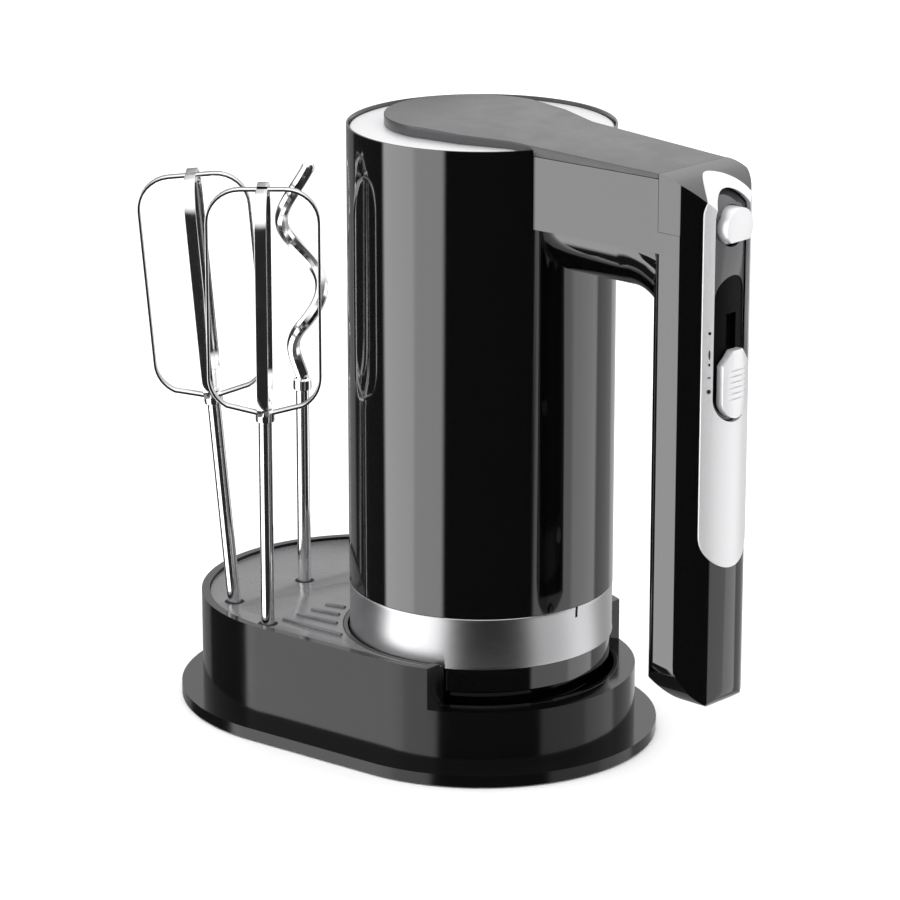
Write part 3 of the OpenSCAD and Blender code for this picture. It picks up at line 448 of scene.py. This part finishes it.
class MixerColours(bpy.types.PropertyGroup):
    gloss: paint("Body", (0.0015, 0.0015, 0.0018), "Polished black of the body and the handle")
    cover: paint("Top cover", (0.055, 0.055, 0.058), "Black of the spoon-shaped cover")
    dock: paint("Dock", (0.003, 0.003, 0.0035), "Dark plastic of the dock's wall")
    deck: paint("Dock deck", (0.13, 0.13, 0.135), "Dark plastic of the dock's top")
    rubber: paint("Rubber", (0.010, 0.010, 0.010), "Feet, seals and gland")
    silver: paint("Silver paint", (0.72, 0.72, 0.73), "Deck plate, control panel and buttons")
    steel: paint("Brushed steel", (0.50, 0.50, 0.51), "The band round the body's foot")
    chrome: paint("Chrome", (0.78, 0.78, 0.79), "Beaters and dough hooks")
    nylon: paint("Nylon", (0.72, 0.70, 0.64), "Gears, fan and eject bar")
    copper: paint("Copper", (0.60, 0.22, 0.08), "Windings and commutator")
    bronze: paint("Bronze", (0.50, 0.33, 0.15), "Bearings, pinion and brush holders")
    board: paint("Circuit board", (0.015, 0.12, 0.04), "Lacquer of the circuit board")


def sizes():
    return bpy.context.scene.mixer_sizes


def colours():
    return bpy.context.scene.mixer_colours


# ---------- one operator for each piece or group ----------

class PieceOperator:
    bl_options = {"REGISTER", "UNDO"}

    def execute(self, context):
        self.make(sizes())
        return {"FINISHED"}


def finish_of(key):
    return bpy.data.materials[key]


class MIXER_OT_finishes(bpy.types.Operator):
    """Makes the procedural finishes and gives one to every piece of the works"""
    bl_idname = "mixer.finishes"
    bl_label = "Finishes"

    def execute(self, context):
        c = colours()
        moulded("gloss_black", tuple(c.gloss), 0.06, specular=1.0)
        moulded("cover_black", tuple(c.cover), 0.30, grain=0.01)
        # inlay_black is the body's black lightened twelvefold: painted reflection, standing in for the
        # grey the glossy inlay reflects
        moulded("inlay_black", scaled(tuple(c.gloss), 12), 0.10, specular=1.0)
        moulded("track_black", (0.001, 0.001, 0.001), 0.5, specular=0.08)
        moulded("dock_black", tuple(c.dock), 0.13, specular=0.32)
        moulded("dock_deck_black", tuple(c.deck), 0.26)
        moulded("rubber_black", tuple(c.rubber), 0.7, grain=0.05)
        moulded("works_plastic", (0.06, 0.06, 0.065), 0.5, grain=0.04)
        moulded("gear_nylon", tuple(c.nylon), 0.42, grain=0.02)
        moulded("lead_sheath", (0.30, 0.025, 0.02), 0.45)
        moulded("carbon", (0.02, 0.02, 0.022), 0.6, grain=0.05)
        painted_silver("deck_silver", tuple(c.silver), 0.40)
        painted_silver("panel_silver", tuple(c.silver), 0.44)
        painted_silver("control_silver", tuple(c.silver), 0.36)
        metal("brushed_band", tuple(c.steel), 0.33, stretch=(1, 1, 14), scale=260, line_depth=0,
              spread=0.03, wear=0.06)
        metal("attachment_chrome", tuple(c.chrome), 0.13, scale=220, spread=0.04, line_depth=0.003)
        metal("screw_steel", scaled(tuple(c.steel), 1.2), 0.35, stretch=(1, 1, 6), scale=700)
        metal("works_steel", scaled(tuple(c.steel), 1.3), 0.32, stretch=(8, 1, 1), scale=300)
        metal("bearing_bronze", tuple(c.bronze), 0.35, scale=500, spread=0.12)
        laminated("laminated_iron", scaled(tuple(c.steel), 0.8))
        wound_copper("copper_winding", tuple(c.copper))
        board("board_green", tuple(c.board))
        for name, node in NODES.items():
            slot = node_slot(name)
            key = "laminated_iron" if name in ("stator_core", "armature_core") else slot
            node.data.materials.clear()
            node.data.materials.append(finish_of(key))
        return {"FINISHED"}


def node_slot(name):
    """The material slot the record gives a node."""
    for entry in frame["record"]["subparts"]:
        if entry["node"] == name:
            return entry["material_slot"]
    raise KeyError(name)


class MIXER_OT_castings(PieceOperator, bpy.types.Operator):
    """Rounds the edges of the large mouldings: body, handle, nose, dock wall and cradle"""
    bl_idname = "mixer.castings"
    bl_label = "Mouldings"

    def make(self, s):
        mouldings = (
            ("body_shell", "mixer", 1.0), ("handle_cover", "mixer", 1.0), ("nose_cap", "mixer", 0.5),
            ("dock_shell", "dock", 1.5), ("dock_cradle", "dock", 1.0), ("control_panel", "mixer", 0.4),
            ("dock_base_plate", "dock", 0.5))
        for node, body, share in mouldings:
            width = s.edge * share
            slot = node_slot(node)
            made = place(casting(node, node + "_moulded", width), body, finish_of(slot), [node])
            modify(made, "WEIGHTED_NORMAL", keep_sharp=True)


class MIXER_OT_top(PieceOperator, bpy.types.Operator):
    """Spoon-shaped black cover and the silver deck plate under it"""
    bl_idname = "mixer.top"
    bl_label = "Top"

    def make(self, s):
        r, plate_foot, plate_top = high("deck_plate").x, low("deck_plate").z, high("deck_plate").z
        rim = [(r - s.deck_edge + x, z) for x, z in arc(0, plate_top - s.deck_edge, s.deck_edge, 0, 90, 5)]
        plate = trace("silver_deck", xz([(0, plate_foot), (r, plate_foot), *rim, (0, plate_top)]))
        spin(plate, 128)
        place(plate, "mixer", finish_of("deck_silver"), ["deck_plate"])

        lo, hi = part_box("top_cover")
        # a round bowl that narrows to the handle's width
        centre, half = -5 * MM, hi.y
        neck, end = 17.7 * MM, hi.x
        bowl = arc(centre, 0, half, 90, 270, 36)
        side = [(centre + 20 * MM, half - 3 * MM), (centre + 38 * MM, neck + 4 * MM), (end, neck)]
        outline = [(x, y) for x, y in reversed(side)] + bowl + [(x, -y) for x, y in side]
        cover = trace("spoon_cover", [(x, y, lo.z) for x, y in outline], close=True)
        pull(cover, (0, 0, hi.z - lo.z))
        fall = hi.z - BODY_TOP + 0.5 * MM
        slope = math.atan(fall / end)
        open_edit(cover)
        bpy.ops.mesh.select_all(action="SELECT")
        bpy.ops.mesh.bisect(plane_co=(0, 0, hi.z), plane_no=(math.sin(slope), 0, math.cos(slope)),
                            use_fill=True, clear_outer=True)
        close_edit()
        gap, depth = 0.02 * MM, 20 * MM
        seat = new_piece("seat", bpy.ops.mesh.primitive_cylinder_add, vertices=128, radius=BODY_R,
                         depth=depth, location=(0, 0, plate_top - depth / 2 + gap))
        cut(cover, seat)
        round_edges(cover, s.cover_edge, 4, 50)
        place(cover, "mixer", finish_of("cover_black"), ["top_cover"])


class MIXER_OT_band(PieceOperator, bpy.types.Operator):
    """Brushed steel band with a rolled lip and its lock mark"""
    bl_idname = "mixer.band"
    bl_label = "Steel band"

    def make(self, s):
        lip, inner, face = s.band_lip, BODY_R - 1.2 * MM, BODY_R - 0.18 * MM
        foot = arc(BODY_R - lip, BAND_LOW + lip, lip, -90, 0, 4)
        head = arc(BODY_R - lip, BAND_TOP - lip, lip, 0, 90, 4)
        dip = [(face, BAND_LOW + 3 * lip), (face, BAND_TOP - 3 * lip)]
        ring = [(inner, BAND_LOW), *foot, *dip, *head, (inner, BAND_TOP), (inner, BAND_LOW)]
        band = spin(trace("brushed_band", xz(ring)), 144)
        a = math.radians(-2)
        at = (BODY_R * math.cos(a), BODY_R * math.sin(a), BAND_TOP - 1.5 * MM)
        mark = new_piece("mark", bpy.ops.mesh.primitive_cube_add, size=1, location=at, rotation=(0, 0, a))
        mark.scale = (8 * MM, 1.2 * MM, 5 * MM)
        cut(band, mark)
        place(band, "mixer", finish_of("brushed_band"), ["steel_band"])


class MIXER_OT_dock_top(PieceOperator, bpy.types.Operator):
    """The dock's deck with its short straight ribs, which fan out and end at the mixer's well"""
    bl_idname = "mixer.dock_top"
    bl_label = "Dock top"

    def make(self, s):
        sunk, well_r = 0.2 * MM, BODY_R + 4.6 * MM
        half, tall = s.rib_width / 2, s.rib_height + sunk
        crest = [(half * y, tall * z) for y, z in arc(0, 0, 1, 0, 180, 6)]
        parts = [casting("dock_deck", "dock_deck_ribbed", s.edge * 0.4)]
        for i in range(s.ribs):
            start = Vector((-55 * MM, -47 * MM + i * s.rib_pitch, DECK_Z - sunk))
            turn = math.radians(4 + 4 * i)
            way = Vector((math.cos(turn), math.sin(turn), 0))
            run = next(d * MM for d in range(60) if (start + way * d * MM).xy.length < well_r)
            rib = trace("rib", [(start.x, start.y + y, start.z + z) for y, z in crest], close=True)
            pull(rib, way * run)
            parts.append(round_edges(rib, 0.25 * MM, 2, 50))
        deck = join("dock_deck_ribbed", parts)
        place(deck, "dock", finish_of("dock_deck_black"), ["dock_deck"])


def arch_block(name, half, foot, top):
    """A block along X with an arched upper and a round lower end, for cutting the inlay."""
    outline = arc(0, top - half, half, 0, 180, 16) + arc(0, foot + half, half, 180, 360, 16)
    block = trace(name, [(90 * MM, y, z) for y, z in outline], close=True)
    return pull(block, (40 * MM, 0, 0))


class MIXER_OT_inlay(PieceOperator, bpy.types.Operator):
    """The grip's glossy black inlay, and the dull sunk track that the slider runs over"""
    bl_idname = "mixer.inlay"
    bl_label = "Inlay"

    def make(self, s):
        border, gap, sunk = 1.6 * MM, 0.05 * MM, 0.35 * MM
        half, foot, head = high("control_inlay").y - border, low("control_inlay").z + border, 191 * MM
        inlay = casting("control_inlay", "control_inlay_gloss", 0)
        track = copy_of(inlay, "slider_track")
        cut(inlay, arch_block("outside", half, foot, head))
        cut(track, arch_block("inside", half - gap, foot + gap, head - gap), "INTERSECT")
        track.location.x = -sunk
        round_edges(inlay, s.edge * 0.4, 2, 50)
        # the inlay's black carries painted reflection: the body's black lightened twelvefold
        place(inlay, "mixer", finish_of("inlay_black"), ["control_inlay"])
        place(track, "mixer", finish_of("track_black"), ["control_inlay"])


class MIXER_OT_controls(PieceOperator, bpy.types.Operator):
    """Speed slider with its grip grooves, and the eject button"""
    bl_idname = "mixer.controls"
    bl_label = "Controls"

    def make(self, s):
        slider = casting("speed_slider", "speed_slider_cap", s.edge * 0.5)
        lo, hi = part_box("speed_slider")
        for i in range(s.grooves):
            z = lo.z + 7 * MM + i * s.groove
            slot = new_piece("slot", bpy.ops.mesh.primitive_cube_add, size=1, location=(hi.x, 0, z))
            slot.scale = (1.1 * MM, 8.4 * MM, 0.7 * MM)
            cut(slider, slot)
        place(slider, "speed_control", finish_of("control_silver"), ["speed_slider"])
        button = casting("eject_button", "eject_button_cap", s.edge)
        place(button, "eject_control", finish_of("control_silver"), ["eject_button"])


def turned_rod(name, radius_at):
    """A round rod standing on Z from a list of radii and heights, closed at both ends."""
    return spin(trace(name, xz(radius_at)), 32)


def stem_parts(neck):
    """The stem that goes into a spindle, with its two driving lugs and the collar on top."""
    r, foot = STEM_R, STEM_FOOT
    rod = turned_rod("stem", [
        (0, foot), (r - 0.5 * MM, foot), (r, foot + 0.5 * MM), (r, neck - 1.5 * MM),
        (r + 0.9 * MM, neck - 0.9 * MM), (r + 1.0 * MM, neck), (r + 0.9 * MM, neck + 2.6 * MM),
        (r, neck + 3.2 * MM), (r, neck + 4 * MM), (0, neck + 4 * MM)])
    lug = new_piece("lug", bpy.ops.mesh.primitive_cube_add, size=1, location=(0, 0, foot + 3.5 * MM))
    lug.scale = (6.6 * MM, 1.3 * MM, 5 * MM)
    bpy.ops.object.transform_apply(location=True, rotation=True, scale=True)
    round_edges(lug, 0.3 * MM, 2)
    return [rod, lug]


def strip(turn):
    """One closed loop of flat steel strip with round corners."""
    half, foot, head = 20 * MM, 79.5 * MM, 162.5 * MM
    corner, wide, thick = 12 * MM, 4.2 * MM, 1 * MM
    points = [(0, foot)]
    points += arc(half - corner, foot + 14 * MM, corner, -62, 0, 8)
    points += arc(half - corner, head - corner, corner, 0, 90, 8)
    points += [(-x, z) for x, z in reversed(points[1:])]
    loop = trace("strip", [(x, -wide / 2, z) for x, z in points + points[:1]])
    open_edit(loop, "EDGE")
    bpy.ops.mesh.select_all(action="SELECT")
    bpy.ops.mesh.remove_doubles(threshold=0.01 * MM)
    bpy.ops.mesh.select_all(action="SELECT")
    bpy.ops.mesh.extrude_edges_move(TRANSFORM_OT_translate={"value": (0, wide, 0)})
    bpy.ops.mesh.select_all(action="SELECT")
    bpy.ops.mesh.normals_make_consistent(inside=False)
    close_edit()
    modify(loop, "SOLIDIFY", thickness=thick, offset=0, use_even_offset=True)
    round_edges(loop, 0.22 * MM, 2, 50)
    loop.rotation_euler = (0, 0, turn)
    activate(loop)
    bpy.ops.object.transform_apply(location=False, rotation=True, scale=False)
    return loop


class MIXER_OT_beaters(PieceOperator, bpy.types.Operator):
    """Two strip beaters, the outer one leaning away from the mixer"""
    bl_idname = "mixer.beaters"
    bl_label = "Beaters"

    def make(self, s):
        turn = math.radians(BEATER_TURN)
        parts = stem_parts(78 * MM) + [strip(turn), strip(turn + math.pi / 2)]
        nub = [(0, 160.2), (2.2, 160.2), (2.6, 160.8), (2.6, 162.3), (2.1, 162.9), (0, 162.9)]
        parts.append(turned_rod("nub", [(r * MM, z * MM) for r, z in nub]))
        front = join("beater_front_strips", parts)
        outer = copy_of(front, "beater_outer_strips")
        hinge = Vector((-math.sin(turn + math.pi), math.cos(turn + math.pi), 0))
        stand(front, FRONT_BEATER_AT)
        stand(outer, OUTER_BEATER_AT, Matrix.Rotation(math.radians(OUTER_BEATER_LEAN), 4, hinge))
        finish = finish_of("attachment_chrome")
        place(front, "front_beater", finish, ["beater_front"])
        place(outer, "outer_beater", finish, ["beater_outer"])


def stand(obj, at, turned=None):
    """Stands an attachment on the dock's deck, leaning if a turn is given."""
    spot = Vector((at[0] * MM, at[1] * MM, DECK_Z))
    obj.matrix_world = Matrix.Translation(spot) @ (turned or Matrix.Identity(4))
    activate(obj)
    bpy.ops.object.transform_apply(location=True, rotation=True, scale=True)


def bent_rod(name, points, radius):
    """A rod that follows a traced line, with both ends closed."""
    line = trace(name, points)
    activate(line)
    bpy.ops.object.convert(target="CURVE")
    curve = bpy.context.object
    curve.data.dimensions = "3D"
    curve.data.bevel_depth = radius
    curve.data.bevel_resolution = 3
    curve.data.use_fill_caps = True
    bpy.ops.object.convert(target="MESH")
    rod = bpy.context.object
    open_edit(rod)
    bpy.ops.mesh.select_all(action="SELECT")
    bpy.ops.mesh.remove_doubles(threshold=0.005 * MM)
    bpy.ops.mesh.normals_make_consistent(inside=False)
    close_edit()
    rod.name = rod.data.name = name
    return rod


def hook_path(turn, u):
    """The middle of a hook's rod at a share u of its height, from a start angle in degrees."""
    foot, top, r = 80 * MM, 160.5 * MM, 8 * MM
    swing = math.radians(turn + 500 * u)
    out = r * min(1.0, u * 4) * (1 - 0.15 * u)
    return (out * math.cos(swing), out * math.sin(swing),
            foot + (top - foot) * (u + 0.03 * math.sin(2 * math.pi * u)))


class MIXER_OT_hooks(PieceOperator, bpy.types.Operator):
    """Two dough hooks of bent round rod"""
    bl_idname = "mixer.hooks"
    bl_label = "Dough hooks"

    def make(self, s):
        for node, body, at, turn in (("dough_hook_near", "near_hook", NEAR_HOOK_AT, NEAR_HOOK_TURN),
                                     ("dough_hook_far", "far_hook", FAR_HOOK_AT, FAR_HOOK_TURN)):
            points = [hook_path(turn, i / 90) for i in range(91)]
            rod = bent_rod("coil", points, HOOK_ROD_R)
            tip = new_piece("tip", bpy.ops.mesh.primitive_uv_sphere_add, segments=20, ring_count=12,
                            radius=HOOK_ROD_R, location=points[-1])
            hook = join(node + "_rod", [rod, tip, *stem_parts(76 * MM)])
            stand(hook, at)
            place(hook, body, finish_of("attachment_chrome"), [node])


class MIXER_OT_spring(PieceOperator, bpy.types.Operator):
    """Return spring of the ejector, wound at rest; the button presses it flat in use."""
    bl_idname = "mixer.spring"
    bl_label = "Ejector spring"

    def make(self, s):
        lo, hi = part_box("ejector_spring")
        cx, r = (lo.x + hi.x) / 2, (hi.x - lo.x) / 2 - s.wire
        foot, head = lo.z + s.wire, hi.z - s.wire
        steps, flat = 24, 0.75  # points in a turn, and how much of each end turn lies flat
        points = []
        for i in range(steps * s.turns + 1):
            turned = i / steps
            a = 2 * math.pi * turned
            rise = min(1.0, max(0.0, (turned - flat) / (s.turns - 2 * flat)))
            points.append((cx + r * math.cos(a), r * math.sin(a), foot + (head - foot) * rise))
        coil = bent_rod("ejector_spring_coil", points, s.wire)
        place(coil, "mixer", finish_of("works_steel"), ["ejector_spring"], smooth=60)
        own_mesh(coil)


class MIXER_OT_marks(PieceOperator, bpy.types.Operator):
    """Plain speed marks beside the slider: a dot at each end and a wedge between them"""
    bl_idname = "mixer.marks"
    bl_label = "Speed marks"

    def make(self, s):
        lo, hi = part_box("speed_slider")
        skin, turn = 20.25 * MM, math.radians(-31)
        x, y = hi.x - 21.4 * MM + skin * math.cos(turn), skin * math.sin(turn)
        # height over the slider's foot, then height and width of the mark, in millimetres
        marks = ((10.6, 1.5, 1.5), (15.5, 0.5, 1.2), (20.0, 1.0, 0.8), (23.5, 3.4, 0.6), (31.0, 1.1, 1.1))
        parts = []
        for up, tall, wide in marks:
            mark = new_piece("mark", bpy.ops.mesh.primitive_cylinder_add, vertices=24, radius=0.5,
                             depth=1, location=(x, y, lo.z + up * MM), rotation=(0, math.pi / 2, turn))
            mark.scale = (tall * MM, wide * MM, 0.5 * MM)
            bpy.ops.object.transform_apply(location=True, rotation=True, scale=True)
            round_edges(mark, 0.06 * MM, 2, 60)
            parts.append(mark)
        # the marks share the inlay's black, lightened twelvefold as painted reflection
        place(join("speed_marks", parts), "mixer", finish_of("inlay_black"))


class MIXER_OT_stage(bpy.types.Operator):
    """Lays the pale floor, the soft studio light and the camera"""
    bl_idname = "mixer.stage"
    bl_label = "Stage"

    def execute(self, context):
        scene = context.scene
        floor = new_piece("floor", bpy.ops.mesh.primitive_plane_add, size=12.0)
        mat, nodes, links, shader = tree("pale_floor")
        cloud = stretched_noise(nodes, links, 2, detail=3)
        links.new(tint(nodes, links, cloud, (0.985, 0.985, 0.985), (1.0, 1.0, 1.0)),
                  shader.inputs["Base Color"])
        shader.inputs["Roughness"].default_value = 0.9
        shader.inputs["Specular IOR Level"].default_value = 0.0
        floor.data.materials.append(mat)
        floor.visible_glossy = False
        studio_light(scene)
        studio_camera(scene)
        scene.view_settings.view_transform = "Standard"
        return {"FINISHED"}


def studio_camera(scene):
    a, e = math.radians(CAMERA_AZIMUTH), math.radians(CAMERA_ELEVATION)
    back = Vector((math.sin(a) * math.cos(e), -math.cos(a) * math.cos(e), math.sin(e)))
    right = Vector((math.cos(a), math.sin(a), 0))
    target = right * (AIM_RIGHT * BODY_R) + Vector((0, 0, AIM_UP * BODY_R))
    data = bpy.data.cameras.new("camera")
    data.lens = CAMERA_LENS
    data.sensor_width = 36
    data.clip_start, data.clip_end = 0.01, 50
    cam = bpy.data.objects.new("camera", data)
    scene.collection.objects.link(cam)
    cam.location = target + back * (CAMERA_BACK * BODY_R)
    cam.rotation_mode = "QUATERNION"
    cam.rotation_quaternion = (-back).to_track_quat("-Z", "Y")
    scene.camera = cam


# Upright strips of the studio: where each starts, in degrees right of the camera's back, and its
# brightness, with the ceiling's brightness and how far a strip blends into the next
STRIPS = ((-180, 0.4), (-140, 0.06), (-92, 4.0), (-60, 3.0), (-33, 0.03), (45, 1.2), (84, 1.8),
          (116, 0.6), (150, 0.9))
BRIGHTEST = 4.0
CEILING = 2.0
STRIP_BLEND = 1.5


def studio_light(scene):
    """A studio of upright light and dark walls under a soft ceiling, and plain white behind."""
    world = bpy.data.worlds.new("studio")
    world.use_nodes = True
    scene.world = world
    nodes, links = world.node_tree.nodes, world.node_tree.links
    nodes.clear()
    coords = nodes.new("ShaderNodeTexCoord")
    turn = nodes.new("ShaderNodeMapping")
    turn.vector_type = "POINT"
    turn.inputs["Rotation"].default_value = (0, 0, math.radians(90 - CAMERA_AZIMUTH))
    split = nodes.new("ShaderNodeSeparateXYZ")
    links.new(coords.outputs["Generated"], turn.inputs["Vector"])
    links.new(turn.outputs["Vector"], split.inputs["Vector"])
    around = nodes.new("ShaderNodeMath")
    around.operation = "ARCTAN2"
    links.new(split.outputs["Y"], around.inputs[0])
    links.new(split.outputs["X"], around.inputs[1])
    share = span(nodes, links, around.outputs["Value"], 0.0, 1.0, -math.pi, math.pi)
    ramp = nodes.new("ShaderNodeValToRGB")
    ramp.color_ramp.interpolation = "LINEAR"
    stops = []
    for (angle, value), (_, before) in zip(STRIPS[1:], STRIPS):
        stops += [(angle - STRIP_BLEND, before), (angle + STRIP_BLEND, value)]
    ends = ramp.color_ramp.elements
    ends[0].color = (*(STRIPS[0][1] / BRIGHTEST,) * 3, 1)
    ends[-1].color = (*(STRIPS[-1][1] / BRIGHTEST,) * 3, 1)
    for angle, value in stops:
        point = ends.new((angle + 180) / 360)
        point.color = (*(value / BRIGHTEST,) * 3, 1)
    links.new(share, ramp.inputs["Fac"])
    walls = nodes.new("ShaderNodeMath")
    walls.operation = "MULTIPLY"
    walls.inputs[1].default_value = BRIGHTEST
    links.new(ramp.outputs["Color"], walls.inputs[0])
    up = span(nodes, links, split.outputs["Z"], 0.0, 1.0, 0.12, 0.55)
    mix = nodes.new("ShaderNodeMix")
    mix.data_type = "FLOAT"
    mix.inputs["B"].default_value = CEILING
    links.new(up, mix.inputs["Factor"])
    links.new(walls.outputs["Value"], mix.inputs["A"])
    lit = nodes.new("ShaderNodeBackground")
    links.new(mix.outputs["Result"], lit.inputs["Strength"])
    plain = nodes.new("ShaderNodeBackground")
    plain.inputs["Strength"].default_value = 1.0
    path = nodes.new("ShaderNodeLightPath")
    choose = nodes.new("ShaderNodeMixShader")
    out = nodes.new("ShaderNodeOutputWorld")
    links.new(path.outputs["Is Camera Ray"], choose.inputs[0])
    links.new(lit.outputs["Background"], choose.inputs[1])
    links.new(plain.outputs["Background"], choose.inputs[2])
    links.new(choose.outputs["Shader"], out.inputs["Surface"])


class MIXER_PT_sidebar(bpy.types.Panel):
    """The builder's panel in the 3D view's sidebar"""
    bl_idname = "MIXER_PT_sidebar"
    bl_label = "Mixer"
    bl_space_type = "VIEW_3D"
    bl_region_type = "UI"
    bl_category = "Mixer"

    def draw(self, context):
        layout = self.layout
        for group in (context.scene.mixer_sizes, context.scene.mixer_colours):
            box = layout.box()
            for key in group.__annotations__:
                box.prop(group, key)
        for made in OPERATORS:
            layout.operator(made.bl_idname)


OPERATORS = (
    MIXER_OT_finishes, MIXER_OT_castings, MIXER_OT_top, MIXER_OT_band, MIXER_OT_dock_top, MIXER_OT_inlay,
    MIXER_OT_controls, MIXER_OT_marks, MIXER_OT_beaters, MIXER_OT_hooks, MIXER_OT_spring, MIXER_OT_stage)
CLASSES = (MixerSizes, MixerColours, *OPERATORS, MIXER_PT_sidebar)


def register():
    for c in CLASSES:
        bpy.utils.register_class(c)
    bpy.types.Scene.mixer_sizes = PointerProperty(type=MixerSizes)
    bpy.types.Scene.mixer_colours = PointerProperty(type=MixerColours)


def unregister():
    del bpy.types.Scene.mixer_colours
    del bpy.types.Scene.mixer_sizes
    for c in reversed(CLASSES):
        bpy.utils.unregister_class(c)


def main():
    """Registers the classes and builds everything in order."""
    register()
    for made in OPERATORS:
        group, name = made.bl_idname.split(".")
        getattr(getattr(bpy.ops, group), name)()


if __name__ == "__main__":
    main()
